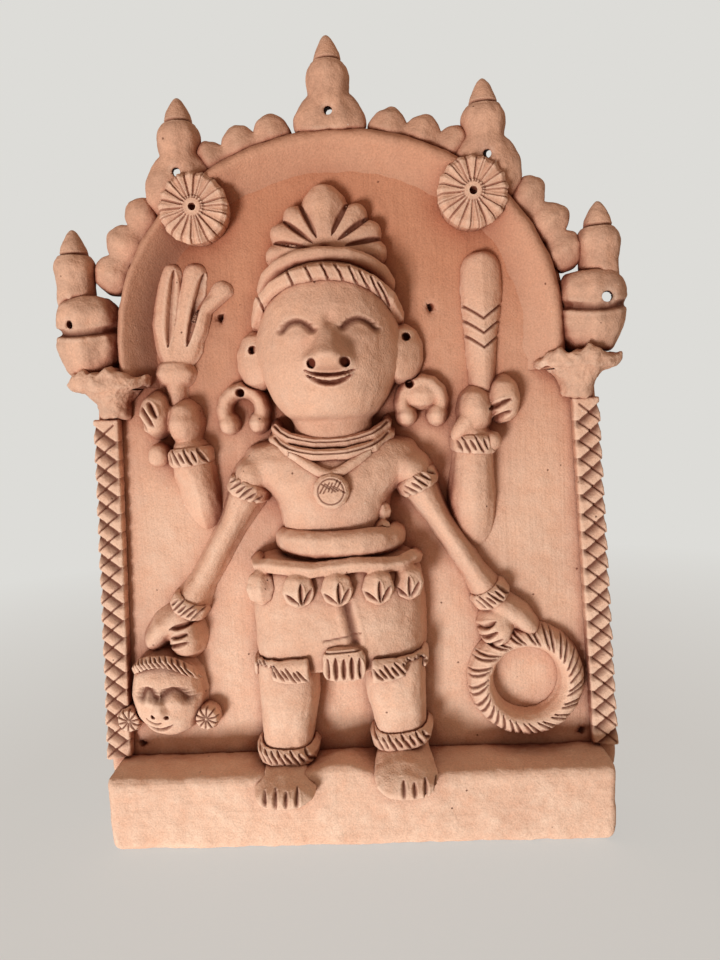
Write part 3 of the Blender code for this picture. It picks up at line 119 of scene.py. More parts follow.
def terracotta(name, smoke=0.0, strokes=0.0, stroke_size=(2.5, 2.5, 55.0), top_shade=0.0, wear_and_highlight=0.55):
    """Low-fired red earthenware, unglazed: matt, gritty, flushed by the fire, and paler towards the
    bottom with dust and painted light.

    The firing leaves patches some 60 mm wide, the grit is 1 mm, drawn coarser than it is so that
    it shows, and pits and pale mica flecks lie a finger's width apart. Towards the top, painted shade
    makes the sheet darker and redder. Corners and crevices are darkened with painted shade, and so are
    cuts, holes and pits; edges are paler with wear and painted highlight.
    """
    material = bpy.data.materials.new(name)
    material.use_nodes = True
    tree = material.node_tree
    place = add(tree, "TexCoord", {}).outputs["Object"]
    height = add(tree, "SeparateXYZ", {"Vector": place}).outputs["Z"]

    patch = add(tree, "TexNoise", {"Vector": place, "Scale": 1 / (FIRED_PATCH * MM), "Detail": 3.0})
    mottle = add(tree, "TexNoise", {"Vector": place, "Scale": 1 / (MOTTLE * MM), "Detail": 5.0,
                                    "Roughness": 0.65})
    fired = add(tree, "Math", {0: patch, 1: mottle}, operation="ADD")
    flush = ramp(tree, fired, 0.85, 1.25, high=0.85)
    colour = tint(tree, flush, linear(CLAY), FLUSHED_AND_SHADED_CLAY)
    # Dust and painted light from below: the lower parts are paler.
    low = ramp(tree, height, DUST_AND_LIGHT_TOP * MM, 0.0, high=0.76)
    dust_and_light = add(tree, "Math", {0: low, 1: mottle}, operation="MULTIPLY")
    dust_and_light = add(tree, "Math", {0: dust_and_light, 1: 1.7}, operation="MULTIPLY", use_clamp=True)
    colour = tint(tree, dust_and_light, colour, DUSTY_AND_LIT_CLAY)
    # Painted shade: towards the top the sheet darkens to the flushed red.
    if top_shade:
        shaded_top = ramp(tree, height, TOP_SHADE_FROM * MM, TOP_SHADE_FULL * MM, high=top_shade)
        colour = tint(tree, shaded_top, colour, FLUSHED_AND_SHADED_CLAY)
    if smoke:
        sooty = ramp(tree, mottle, 0.35, 0.7, high=smoke)
        colour = tint(tree, sooty, colour, SMOKE)

    grit = add(tree, "TexNoise", {"Vector": place, "Scale": 1 / (GRIT * MM), "Detail": 3.0})
    speckle = ramp(tree, grit, 0.3, 0.7, low=0.86, high=1.08)
    colour = add(tree, "MixRGB", {"Fac": 1.0, "Color1": colour, "Color2": speckle}, blend_type="MULTIPLY")

    cell = add(tree, "TexVoronoi", {"Vector": place, "Scale": 1 / (FLECK_SPACING * MM)})
    luck = add(tree, "SeparateColor", {"Color": cell.outputs["Color"]})
    near = cell.outputs["Distance"]
    # Pits are darkened with painted shade, besides being bumped in.
    pit = ramp(tree, near, 0.045, 0.08, low=0.75, high=0.0)
    few = add(tree, "Math", {0: luck, 1: 0.72}, operation="GREATER_THAN")
    pit = add(tree, "Math", {0: pit, 1: few}, operation="MULTIPLY")
    fleck = ramp(tree, near, 0.03, 0.05, low=0.8, high=0.0)
    some = add(tree, "Math", {0: luck, 1: 0.22}, operation="LESS_THAN")
    fleck = add(tree, "Math", {0: fleck, 1: some}, operation="MULTIPLY")
    colour = tint(tree, fleck, colour, PALE_FLECK)

    # Edges are paler, with wear and with a painted highlight where light catches them.
    thin = add(tree, "AmbientOcclusion", {"Distance": WORN_AND_LIT_EDGE * MM}, samples=4, inside=True,
               only_local=True).outputs["AO"]
    worn_and_lit = ramp(tree, thin, 0.95, 0.55, high=wear_and_highlight)
    colour = tint(tree, worn_and_lit, colour, DUSTY_AND_LIT_CLAY)
    # Painted shade: ambient occlusion darkens corners towards SHADED_CLAY and crevices towards DARK_CLAY.
    shade = add(tree, "AmbientOcclusion", {"Distance": SHADED_CORNER * MM}, samples=4).outputs["AO"]
    corner = ramp(tree, shade, 0.86, 0.36, high=0.8)
    colour = tint(tree, corner, colour, SHADED_CLAY)
    crevice = ramp(tree, shade, 0.52, 0.12, high=0.85)
    # Painted shade kept on the mesh: insides of cuts and holes, and the shaded left of the niche and cove.
    scored = add(tree, "Attribute", {}, attribute_name="scored").outputs["Fac"]
    scored = add(tree, "Math", {0: scored, 1: 0.8}, operation="MULTIPLY", use_clamp=True)
    dark = add(tree, "Math", {0: crevice, 1: scored}, operation="MAXIMUM")
    dark = add(tree, "Math", {0: dark, 1: pit}, operation="MAXIMUM")
    colour = tint(tree, dark, colour, DARK_CLAY)

    bump = add(tree, "Bump", {"Height": grit, "Strength": 0.9, "Distance": 0.36 * MM})
    bump = add(tree, "Bump", {"Height": mottle, "Strength": 0.8, "Distance": 1.4 * MM, "Normal": bump})
    bump = add(tree, "Bump", {"Height": pit, "Strength": 1.0, "Distance": 0.5 * MM, "Normal": bump},
               invert=True)
    if strokes:
        drawn = add(tree, "Mapping", {"Vector": place, "Scale": [1 / (size * MM) for size in stroke_size]})
        wipe = add(tree, "TexNoise", {"Vector": drawn, "Scale": 1.0, "Detail": 2.0})
        bump = add(tree, "Bump", {"Height": wipe, "Strength": strokes, "Distance": 0.5 * MM, "Normal": bump})
    shader = tree.nodes["Principled BSDF"]
    tree.links.new(colour.outputs[0], shader.inputs["Base Color"])
    tree.links.new(bump.outputs[0], shader.inputs["Normal"])
    shader.inputs["Roughness"].default_value = 0.88
    shader.inputs["IOR"].default_value = 1.45
    shader.inputs["Specular IOR Level"].default_value = 0.3
    return material


thumb_lumps = bpy.data.textures.new("thumb_lumps", "CLOUDS")
thumb_lumps.noise_scale = 14 * MM
finger_marks = bpy.data.textures.new("finger_marks", "CLOUDS")
finger_marks.noise_scale = 4 * MM


def extent(node):
    """Left, right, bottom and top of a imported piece."""
    low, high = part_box(node)
    return low.x / MM, high.x / MM, low.z / MM, high.z / MM


def centre(node):
    """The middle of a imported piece, across and up."""
    left, right, bottom, top = extent(node)
    return (left + right) / 2, (bottom + top) / 2


def packed_form(node):
    """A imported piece's shape as an editable form, with its split points welded."""
    form = bmesh.new()
    form.from_mesh(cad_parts[node].data)
    bmesh.ops.remove_doubles(form, verts=form.verts, dist=0.001 * MM)
    return form


def in_scene(name, data):
    """A new object that stands in the scene."""
    made = bpy.data.objects.new(name, data)
    bpy.context.scene.collection.objects.link(made)
    return made


def soft_clay(node, grain, rubs, swell=0.5, lumps=0.8, marks=0.45, forms=None, squeeze=0.5):
    """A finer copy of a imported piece, or of forms squeezed into one, rubbed smooth but uneven."""
    whole = bmesh.new()
    for form in forms or [packed_form(node)]:
        shape = bpy.data.meshes.new("shape")
        form.to_mesh(shape)
        form.free()
        whole.from_mesh(shape)
        bpy.data.meshes.remove(shape)
    lump = bpy.data.meshes.new(node + "_clay")
    whole.to_mesh(lump)
    whole.free()
    piece = in_scene(node + "_clay", lump)
    if forms:
        close = piece.modifiers.new("close", "DISPLACE")
        close.strength = squeeze * MM
        close.mid_level = 0.0
    knead = piece.modifiers.new("knead", "REMESH")
    knead.mode = "VOXEL"
    knead.voxel_size = grain * MM
    rub = piece.modifiers.new("rub", "SMOOTH")
    rub.iterations = rubs
    for texture, strength, middle in ((None, swell, 0.0), (thumb_lumps, lumps, 0.5),
                                      (finger_marks, marks, 0.5)):
        push = piece.modifiers.new("push", "DISPLACE")
        push.texture = texture
        push.strength = strength * MM
        push.mid_level = middle
        push.texture_coords = "GLOBAL"
    graph = bpy.context.evaluated_depsgraph_get()
    worked = bpy.data.meshes.new_from_object(piece.evaluated_get(graph))
    piece.modifiers.clear()
    piece.data = worked
    worked.attributes.new("scored", "FLOAT", "POINT")
    return piece


def places(piece):
    """Every point of a piece as across, out and up, and which way its skin faces there."""
    count = len(piece.data.vertices)
    spots, facing = np.empty(3 * count), np.empty(3 * count)
    piece.data.vertices.foreach_get("co", spots)
    piece.data.vertices.foreach_get("normal", facing)
    turned = np.array((1, -1, 1))
    return spots.reshape(-1, 3) / MM * turned + (0, FACE, 0), facing.reshape(-1, 3) * turned


def put_back(piece, spots):
    """Writes moved points back into the piece."""
    moved = (spots - (0, FACE, 0)) * (1, -1, 1) * MM
    piece.data.vertices.foreach_set("co", np.ascontiguousarray(moved, np.float32).ravel())
    piece.data.update()


def darken(piece, tone):
    """Notes the painted shade at each point, where that is more than was noted before."""
    mark = piece.data.attributes["scored"].data
    noted = np.empty(len(mark))
    mark.foreach_get("value", noted)
    mark.foreach_set("value", np.maximum(noted, tone).astype(np.float32))


def ream(piece, x, z, radius, lean=(0.0, 0.0), catch=1.5):
    """Makes a hole round again after the clay was kneaded; its far end leans as the stick went in."""
    spots, _ = places(piece)
    away = spots[:, (0, 2)] - (x, z)
    reach = np.linalg.norm(away, axis=1)
    wall = (reach < catch * radius) & (reach > 0.01)
    spots[wall, 0] = x + away[wall, 0] / reach[wall] * radius
    spots[wall, 2] = z + away[wall, 1] / reach[wall] * radius
    front, back = spots[wall, 1].max(), spots[wall, 1].min()
    inward = np.clip((front - spots[:, 1]) / (front - back), 0, 1)
    leaned = inward * np.clip(1.2 - reach / (6 * radius), 0, 1)
    spots[:, 0] += lean[0] * leaned
    spots[:, 2] += lean[1] * leaned
    put_back(piece, spots)


def press(piece, x, z, wide, high, depth):
    """A thumb's soft dent on the front; a negative depth pulls the clay out instead."""
    spots, facing = places(piece)
    reach = ((spots[:, 0] - x) / wide) ** 2 + ((spots[:, 2] - z) / high) ** 2
    spots[:, 1] -= depth * np.exp(-1.5 * reach) * np.clip(2 * facing[:, 1] + 0.4, 0, 1)
    put_back(piece, spots)


def dress(piece, material, node):
    """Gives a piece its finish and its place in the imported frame."""
    piece.data.materials.clear()
    piece.data.materials.append(material)
    piece.data.shade_smooth()
    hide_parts(node)
    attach(piece, "root")


wiped_terracotta = terracotta("wiped_terracotta", strokes=0.9, top_shade=0.75)
sheet = packed_form("backing_slab")
for x, z in NAIL_PLACES:
    # A hole as narrow as the grain would close when the sheet is kneaded, so it is opened first
    for vertex in sheet.verts:
        away = Vector((vertex.co.x / MM - x, vertex.co.z / MM - z))
        if away.length < NEAR_HOLE * NAIL_HOLE:
            away *= OPENED_HOLE / away.length
            vertex.co.x, vertex.co.z = (x + away.x) * MM, (z + away.y) * MM
slab = soft_clay("backing_slab", grain=1.8, rubs=4, swell=0.0, lumps=1.6, marks=0.0,
                 forms=[sheet], squeeze=0.0)
for x, z in NAIL_PLACES:
    ream(slab, x, z, NAIL_HOLE, lean=(-math.copysign(NAIL_SLANT, x), 0), catch=1.9)
press(slab, *centre("rope_ring"), wide=RING_HOLLOW, high=RING_HOLLOW, depth=2.0)
# Painted shadow: the upper left of the niche is darkened where the rim's shadow falls.
spots, _ = places(slab)
leftward = np.clip((-spots[:, 0] - SHADOW_LEFT_OF) / SHADOW_SIDE_FADE, 0, 1)
upward = np.clip((spots[:, 2] - SHADOW_ABOVE) / SHADOW_RISE_FADE, 0, 1)
darken(slab, NICHE_SHADOW * leftward * upward)
dress(slab, wiped_terracotta, "backing_slab")

# Base ledge
# A block of the same clay along the foot, patted flat with a board whose strokes run across. Its
# edges have slumped and worn round, and it swells a little between the figure's feet.
MOUND_REACH = 14.0
MOUND_RISE = 6.0
MOUND_DEPTH = 30.0
WORN_CORNER = 9.0
patted_terracotta = terracotta("patted_terracotta", strokes=0.9, stroke_size=(60.0, 60.0, 3.0))
ledge = soft_clay("base_ledge", grain=1.3, rubs=20, swell=0.3, lumps=2.2)
_, right, bottom, top = extent("base_ledge")
between_feet = (extent("leg_left")[1] + extent("leg_right")[0]) / 2
spots, _ = places(ledge)
brow = np.clip((spots[:, 2] - bottom) / (top - bottom) - 0.5, 0, 0.5) / 0.5
forward = np.clip(spots[:, 1] / MOUND_DEPTH, 0, 1)
mound = np.exp(-((spots[:, 0] - between_feet) / MOUND_REACH) ** 2)
spots[:, 2] += MOUND_RISE * brow * forward * mound
past_side = np.maximum(np.abs(spots[:, 0]) - right + WORN_CORNER, 0)
past_foot = np.maximum(WORN_CORNER - spots[:, 2], 0)
pull = np.minimum(WORN_CORNER / np.maximum(np.hypot(past_side, past_foot), 0.01), 1) - 1
spots[:, 0] += np.sign(spots[:, 0]) * past_side * pull
spots[:, 2] -= past_foot * pull
put_back(ledge, spots)
dress(ledge, patted_terracotta, "base_ledge")

# Pilasters
# Flat strips along the slab's straight edges, scored with crossing knife strokes. One set of
# strokes is leaned over, so each diamond has a chip with one steep wall and one long slope.
SIDES = (("left", -1), ("right", 1))
STROKE_PITCH = 10.6
STROKE_RISE = 9.5
FIRST_STROKE = 0.6 * STROKE_PITCH
SMOOTH_MARGIN = 3.0
OUTER_MARGIN = 0.8
STRIP_END = 4.0


def score(piece, strokes, width, depth, slope=None, burr=0.14, leaf=False, dark=1.0):
    """Cuts along strokes, each a row of places; a slope widens a cut on its lower side.

    A knife leaves an even cut, and a stick that is rocked in leaves a leaf, pointed at both ends.
    The clay wells up a little beside a cut, and its inside is noted for painted shade.
    """
    spots, facing = places(piece)
    flat = spots[:, (0, 2)]
    cut = np.zeros(len(flat))
    welt = np.zeros(len(flat))
    for stroke in strokes:
        for k, (start, end) in enumerate(zip(stroke, stroke[1:])):
            run = np.subtract(end, start)
            share = np.clip((flat - start) @ run / (run @ run), 0, 1)
            away = flat - start - share[:, None] * run
            half = np.where(away[:, 1] < 0, slope or width / 2, width / 2)
            if leaf:
                along = (k + share) / (len(stroke) - 1)
                half = half * np.sqrt(np.clip(4 * along * (1 - along), 0.05, 1))
            reach = np.linalg.norm(away, axis=1) / half
            cut = np.maximum(cut, 1 - reach)
            beside = np.where(np.abs(reach - 1.5) < 0.5, np.cos(math.pi * (reach - 1.5)), 0)
            welt = np.maximum(welt, beside)
    front = np.clip(0.55 + facing[:, 1], 0, 1)
    moved = np.where(cut > 0, -cut, burr * welt * (slope is None)) * depth * front
    put_back(piece, spots + facing * moved[:, None])
    darken(piece, np.clip(1.3 * cut, 0, 1) * front * dark)


scored_terracotta = terracotta("scored_terracotta")
for word, side in SIDES:
    node = "pilaster_" + word
    strip = soft_clay(node, grain=0.55, rubs=5, swell=0.2, lumps=0.6)
    spots, _ = places(strip)
    _, _, foot, top = extent(node)
    outer = [np.max(side * spots[np.abs(spots[:, 2] - z) < STRIP_END, 0]) for z in (foot, top)]
    strip_width = outer[0] - np.min(side * spots[np.abs(spots[:, 2] - foot) < STRIP_END, 0])
    leaned, plain = [], []
    for k in range(int((top - foot) / STROKE_PITCH)):
        z = foot + FIRST_STROKE + k * STROKE_PITCH
        edge = outer[0] + (outer[1] - outer[0]) * (z - foot) / (top - foot)
        near, far = side * (edge - strip_width + SMOOTH_MARGIN), side * (edge - OUTER_MARGIN)
        leaned.append([(near, z - STROKE_RISE / 2), (far, z + STROKE_RISE / 2)])
        plain.append([(near, z + STROKE_RISE / 2), (far, z - STROKE_RISE / 2)])
    score(strip, leaned, width=1.0, depth=2.3, slope=4.8)
    score(strip, plain, width=1.4, depth=1.3)
    dress(strip, scored_terracotta, node)

# Arch rim
# A thick coil bent over the niche. Its inner side is smoothed into the slab with a wet thumb, and
# the cove that this leaves is darkened with painted shade, most of all on the left.
SPRING = 290.0
RIM_HALF = 7.5
LIP = 2.0
LEFT_SWELL = 0.3
COVE = 22.0
COVE_LEAN = 3.0
COVE_CURVE = 1.9
COVE_CURVE_LEAN = 0.4
COVE_SINK = 1.6
RIM_TAIL = 18.0
COVE_SHADE = 0.8
COVE_EDGE_SHADE = 0.34
niche_terracotta = terracotta("niche_terracotta", top_shade=0.4, wear_and_highlight=0.0)
rim = soft_clay("arch_rim", grain=0.9, rubs=20, swell=0.4, lumps=1.2)
_, right, _, top = extent("arch_rim")
half_span, crown = right - RIM_HALF, top - RIM_HALF - SPRING
spots, _ = places(rim)
aside = spots[:, 0] / half_span
spots[:, 1] *= 1 + LEFT_SWELL * np.clip(-1.5 * aside - 0.5, 0, 1)
rim_top = np.percentile(spots[:, 1], 99)
rise = np.maximum(spots[:, 2] - SPRING, 0)
from_middle = np.hypot(spots[:, 0], rise)
outward = from_middle * (1 - 1 / np.hypot(aside, rise / crown))
inside = np.maximum(LIP - outward, 0) / (LIP + RIM_HALF)
hollow = np.clip(1 - inside, 0, 1) ** (COVE_CURVE + COVE_CURVE_LEAN * aside)
tail = np.clip((SPRING - spots[:, 2]) / RIM_TAIL, 0, 1) * (inside > 0.2)
spots[:, 1] = np.minimum(spots[:, 1], rim_top * hollow) - COVE_SINK * np.maximum(inside ** 2, tail)
drawn = inside * (COVE + COVE_LEAN * aside - LIP - RIM_HALF) / from_middle
spots[:, 0] -= spots[:, 0] * drawn
spots[:, 2] -= rise * drawn
put_back(rim, spots)
# Painted shade in the cove, deepest on the left and along its inner edge.
leftward = np.clip(-2 * spots[:, 0] / half_span - 0.7, 0, 1)
darken(rim, COVE_SHADE * np.exp(-((inside - 0.65) / 0.5) ** 2) * leftward)
darken(rim, COVE_EDGE_SHADE * np.clip(inside, 0, 1) ** 2)
dress(rim, niche_terracotta, "arch_rim")

# Springers
# Two rolls stacked under each end of the arch and squeezed together along a deep crease. Each
# stack is pierced with a stick, and the kiln's smoke has greyed it.
CREASE_RISE = 25.08
HOLE_INSET = 14.0
HOLE_ABOVE_SPRING = 13.0
HOLE_RADIUS = {-1: NAIL_HOLE, 1: 1.3 * NAIL_HOLE}
HOLE_LEAN = {-1: (0.0, 0.0), 1: (8.0, 3.0)}


def outer_edge(node, side):
    """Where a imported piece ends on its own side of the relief."""
    return extent(node)[0 if side < 0 else 1]


def arc(x0, z0, x1, z1, sag, count=7):
    """A curved stroke from one place to another; the sag lifts its middle."""
    shares = [k / count for k in range(count + 1)]
    return [(x0 + (x1 - x0) * t, z0 + (z1 - z0) * t + sag * 4 * t * (1 - t)) for t in shares]


smoked_terracotta = terracotta("smoked_terracotta", smoke=0.4)
for word, side in SIDES:
    node = "springer_" + word
    roll = soft_clay(node, grain=0.8, rubs=40, swell=1.0, lumps=2.6)
    left, right, bottom, _ = extent(node)
    crease = bottom + CREASE_RISE
    score(roll, [arc(left, crease, right, crease, sag=-3)], width=5.0, depth=2.6)
    hole_x = outer_edge(node, side) - side * HOLE_INSET
    ream(roll, hole_x, SPRING + HOLE_ABOVE_SPRING, HOLE_RADIUS[side], HOLE_LEAN[side])
    dress(roll, smoked_terracotta, node)

# Capitals
# Funnels pinched from a pad of clay on each pilaster's head. The lip was crimped between finger
# and thumb and left torn, with one end drawn out to a point.
LIP_FROM = 0.55
COARSE_TEAR = 1.6
FINE_TEAR = 0.7
LIP_DROOP = 12.0
LIP_DRAWN = 12.0
BELLY = 3.0
BELLY_RISE = 9.0
BELLY_SPREAD = 7.0
for word, side in SIDES:
    node = "capital_" + word
    funnel = soft_clay(node, grain=0.6, rubs=26, swell=0.5, lumps=3.5, marks=1.6)
    left, right, bottom, top = extent(node)
    spots, _ = places(funnel)
    lip = np.clip((spots[:, 2] - bottom) / (top - bottom) - LIP_FROM, 0, 1) / (1 - LIP_FROM)
    outward = side * (spots[:, 0] - (left + right) / 2) / (right - left)
    torn = COARSE_TEAR * np.sin(0.33 * spots[:, 0])
    torn += FINE_TEAR * np.sin(0.8 * spots[:, 0] + 0.3 * spots[:, 1])
    spots[:, 2] += lip * (torn - LIP_DROOP * outward ** 2)
    belly = np.exp(-((spots[:, 2] - bottom - BELLY_RISE) / BELLY_SPREAD) ** 2)
    spots[:, 1] += BELLY * belly * np.clip(spots[:, 1] / 10, 0, 1)
    spots[:, 0] += side * LIP_DRAWN * lip * np.clip(outward - 0.25, 0, 1)
    put_back(funnel, spots)
    dress(funnel, smoked_terracotta, node)

# Finials
# Little clay vases with a cone tip, pinched to shape on the mounds along the arch. The mounds of
# the upper three are pierced, slanting up as the stick went in.
CONE = 14.4
UPPER_FINIALS = 85.5
HOLE_BELOW_TIP = 43.8
HOLE_SLANT = 6.5
for place in ("top", "upper_left", "upper_right", "lower_left", "lower_right"):
    node = "finial_" + place
    vase = soft_clay(node, grain=0.6, rubs=110, swell=0.9, lumps=1.6)
    left, right, _, top = extent(node)
    neck = top - CONE
    score(vase, [[(left, neck), (right, neck)]], width=2.0, depth=1.2)
    if "lower" not in place:
        x = 0.0 if place == "top" else math.copysign(UPPER_FINIALS, left + right)
        ream(vase, x, top - HOLE_BELOW_TIP, NAIL_HOLE, lean=(0.06 * x, HOLE_SLANT))
    dress(vase, smoked_terracotta, node)

# Buds
# Pellets of clay rolled in the palm and pressed in rows along the slab's arched edge, between the
# finials. Each row is one lump where the pellets were squeezed together.
for place in ("left_upper", "left_lower", "right_upper", "right_lower"):
    node = "buds_" + place
    buds = soft_clay(node, grain=0.7, rubs=70, swell=1.1, lumps=2.0)
    dress(buds, smoked_terracotta, node)

# Rosettes
# Thick buttons of clay set against the rim and cut into petals by knife strokes, which run out
# from a bored boss a little unevenly.
PETALS = 22
PETAL_START = 0.26
PETAL_END = 1.02
DISH = 0.45
DISH_SLOPE = 1.2


def spoke(x, z, turn, near, far, twist=0.0):
    """A stroke that runs out from a middle, turned from upright to the right; a twist slants it."""
    return [(x + reach * math.sin(way), z + reach * math.cos(way))
            for reach, way in ((near, turn), (far, turn + twist))]


for word, _ in SIDES:
    node = "rosette_" + word
    button = soft_clay(node, grain=0.5, rubs=4, swell=0.2, lumps=0.8)
    left, right, _, _ = extent(node)
    x, z = centre(node)
    radius = (right - left) / 2
    strokes = []
    for k in range(PETALS):
        turn = 2 * math.pi * (k + 0.5 + 0.18 * math.sin(5 * k)) / PETALS
        strokes.append(spoke(x, z, turn, PETAL_START * radius, PETAL_END * radius))
    spots, _ = places(button)
    reach = np.hypot(spots[:, 0] - x, spots[:, 2] - z) / radius
    brow = spots[np.abs(reach - DISH) < 0.05, 1].max()
    dished = np.minimum(spots[:, 1], brow + DISH_SLOPE * (DISH - reach))
    spots[:, 1] = np.where(reach < DISH, dished, spots[:, 1])
    put_back(button, spots)
    score(button, strokes, width=1.1, depth=0.9, burr=0.3, dark=0.5)
    dress(button, scored_terracotta, node)

# Torso and skirt
# The two great lumps of the figure, smoothed with a wet hand until their feet run into the slab.
# The shoulders belong to the torso as far as the armlets, and a fold runs down the skirt.
ARM_RUN = (0.44, -0.90)


def smear(piece, flare, height):
    """Drags the foot of a piece out over the slab with a wet finger, so that the two run together."""
    spots, facing = places(piece)
    low = np.clip(1 - spots[:, 1] / height, 0, 1.2) ** 2
    flat = facing * (1, 0, 1)
    spots += flat / np.maximum(np.linalg.norm(flat, axis=1), 0.2)[:, None] * (flare * low)[:, None]
    spots[:, 1] -= 0.8 * low
    put_back(piece, spots)


def severed(node, x, z, run_x, run_z):
    """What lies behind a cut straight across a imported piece."""
    form = packed_form(node)
    everything = form.verts[:] + form.edges[:] + form.faces[:]
    bmesh.ops.bisect_plane(form, geom=everything, plane_co=(x * MM, 0, z * MM), plane_no=(run_x, 0, run_z),
                           clear_outer=True)
    bmesh.ops.holes_fill(form, edges=[edge for edge in form.edges if edge.is_boundary])
    return form


rubbed_terracotta = terracotta("rubbed_terracotta")
shoulders = [severed("arm_lower_" + word, *centre("armlet_" + word), side * ARM_RUN[0], ARM_RUN[1])
             for word, side in SIDES]
torso = soft_clay("torso", grain=0.9, rubs=70, swell=0.3, lumps=1.6,
                  forms=[packed_form("torso"), *shoulders])
smear(torso, flare=3.0, height=9.0)
dress(torso, rubbed_terracotta, "torso")
skirt = soft_clay("skirt", grain=0.9, rubs=70, swell=0.6, lumps=1.6)
smear(skirt, flare=3.0, height=9.0)
left, right, bottom, _ = extent("skirt")
middle = (left + right) / 2
fold = [(middle + 6, bottom + 40), (middle + 10, bottom + 19)]
tuck = [(middle - 8, bottom + 19.5), (middle + 13, bottom + 23.5)]
score(skirt, [fold], width=7.0, depth=2.4, burr=0.2)
score(skirt, [tuck], width=1.4, depth=1.2)
dress(skirt, rubbed_terracotta, "skirt")

# Legs and anklets
# Tapered columns with broad feet drawn over the ledge. Toes are slots pushed in with a stick, and
# each anklet is a flat coil with slanting cuts.
TOES = 4
TOE_PITCH = 6.0
TOE_SLOT = 8.6
TOE_RISE = 5.6
TOES_INSET = {-1: 16.0, 1: 8.0}
SPLAY = {-1: 1.0, 1: 2.5}
BROAD_FOOT = 0.16
FOOT_HEIGHT = 12.0
ANKLET_TILT = {-1: -0.06, 1: 0.11}


def hatch(x, z, step_x, step_z, count, lean, length, drift=0.25):
    """Parallel strokes in a row, each a little out of true as a hand makes them."""
    strokes = []
    for k in range(count):
        shift = k - (count - 1) / 2
        slant = math.radians(lean + 14 * drift * math.sin(4.7 * k + x))
        reach = length / 2 * (1 + drift * math.sin(2.9 * k + z))
        cx, cz = x + shift * step_x, z + shift * step_z
        strokes.append([(cx + end * reach * math.cos(slant), cz + end * reach * math.sin(slant))
                        for end in (-1, 1)])
    return strokes


for word, side in SIDES:
    node = "leg_" + word
    leg = soft_clay(node, grain=0.7, rubs=60, swell=0.5, lumps=1.6)
    _, _, toe_tip, _ = extent(node)
    toes = outer_edge(node, side) - side * TOES_INSET[side]
    left, right, ankle, _ = extent("anklet_" + word)
    spots, _ = places(leg)
    foot = np.clip((ankle - spots[:, 2]) / FOOT_HEIGHT, 0, 1)
    spots[:, 0] += foot * (SPLAY[side] + BROAD_FOOT * (spots[:, 0] - toes))
    put_back(leg, spots)
    slots = hatch(toes, toe_tip + TOE_RISE, TOE_PITCH, 0, TOES, lean=90, length=TOE_SLOT, drift=0.12)
    score(leg, slots, width=3.0, depth=2.4, leaf=True)
    dress(leg, rubbed_terracotta, node)
    node = "anklet_" + word
    band = soft_clay(node, grain=0.5, rubs=8, swell=0.3)
    x, z = centre(node)
    cuts = hatch(x, z, (right - left) / 9.5, 0, count=8, lean=-60, length=9)
    score(band, cuts, width=2.2, depth=1.9, leaf=True)
    spots, _ = places(band)
    spots[:, 2] += ANKLET_TILT[side] * (spots[:, 0] - x)
    put_back(band, spots)
    dress(band, scored_terracotta, node)

# Waist roll, belt and sash knot
# A thick roll of clay cloth, and under it a wavy cord hung with bells. Each bell is a ball slit
# three ways with a wedge, and the sash ends in two pinched pellets.
BELL_SHARES = (0.314, 0.522, 0.742, 0.905)
BELL_RISE = 10.0
SLIT_FOOT = 7.5
roll = soft_clay("waist_roll", grain=0.7, rubs=60, swell=0.7, lumps=1.6)
dress(roll, rubbed_terracotta, "waist_roll")
belt = soft_clay("belt", grain=0.55, rubs=20, swell=0.5)
left, right, bottom, _ = extent("belt")
z = bottom + BELL_RISE
slits = []
for share in BELL_SHARES:
    x = left + share * (right - left)
    slits += [[(x - 7.5, z - 1.5), (x - 0.5, z - SLIT_FOOT)], [(x + 1, z + 4.5), (x + 1, z - SLIT_FOOT)],
              [(x + 6.5, z + 1), (x + 2, z - SLIT_FOOT)]]
score(belt, slits, width=2.8, depth=2.8, leaf=True)
dress(belt, scored_terracotta, "belt")
knot = soft_clay("sash_knot", grain=0.5, rubs=8, swell=0.3)
dress(knot, scored_terracotta, "sash_knot")

# Hem of the skirt
# A flat band of clay round each side of the skirt, cut across on the slant with a stick, and a
# fringed tab pressed on between the two.
HEM_FORWARD = 3.2
HEM_WIDENED = 0.25
HEM_TILT = {-1: 0.15, 1: -0.03}
HEM_FALL = 0.12
FRINGE_RISE = 7.5
for word, side in SIDES:
    node = "hem_band_" + word
    band = soft_clay(node, grain=0.5, rubs=8, swell=0.9)
    left, right, _, _ = extent(node)
    x, z = centre(node)
    spots, _ = places(band)
    spots[:, 1] += HEM_FORWARD
    spots[:, 2] += HEM_WIDENED * (spots[:, 2] - z) + HEM_TILT[side] * (spots[:, 0] - x)
    put_back(band, spots)
    step = (right - left) / 10
    cuts = hatch(x, z, step, side * HEM_FALL * step, count=9, lean=-55, length=9)
    score(band, cuts, width=2.1, depth=2.0, leaf=True)
    dress(band, scored_terracotta, node)
tassel = soft_clay("hem_tassel", grain=0.5, rubs=8, swell=0.3)
left, right, bottom, top = extent("hem_tassel")
fringe = hatch((left + right) / 2, bottom + FRINGE_RISE, (right - left) / 5.2, 0, count=5, lean=90,
               length=13, drift=0.06)
score(tassel, fringe, width=3.0, depth=2.8, leaf=True)
score(tassel, [[(left, top - 2.5), (right, top - 1)]], width=1.3, depth=1.2)
dress(tassel, scored_terracotta, "hem_tassel")

# Head
# One large lump with a wedge of a nose drawn out of it. Lids are pressed with the edge of a thumb,
# nostrils poked with a stick, and the smile is two strokes of the knife.


def poke(piece, x, z, radius, depth):
    """A straight hole made with a round stick."""
    spots, facing = places(piece)
    reach = np.hypot(spots[:, 0] - x, spots[:, 2] - z) / radius
    inside = np.clip((1.0 - reach) / 0.25, 0, 1) * (facing[:, 1] > -0.2)
    spots[:, 1] -= depth * inside
    put_back(piece, spots)
    # Painted shade inside the hole.
    darken(piece, 1.6 * inside)


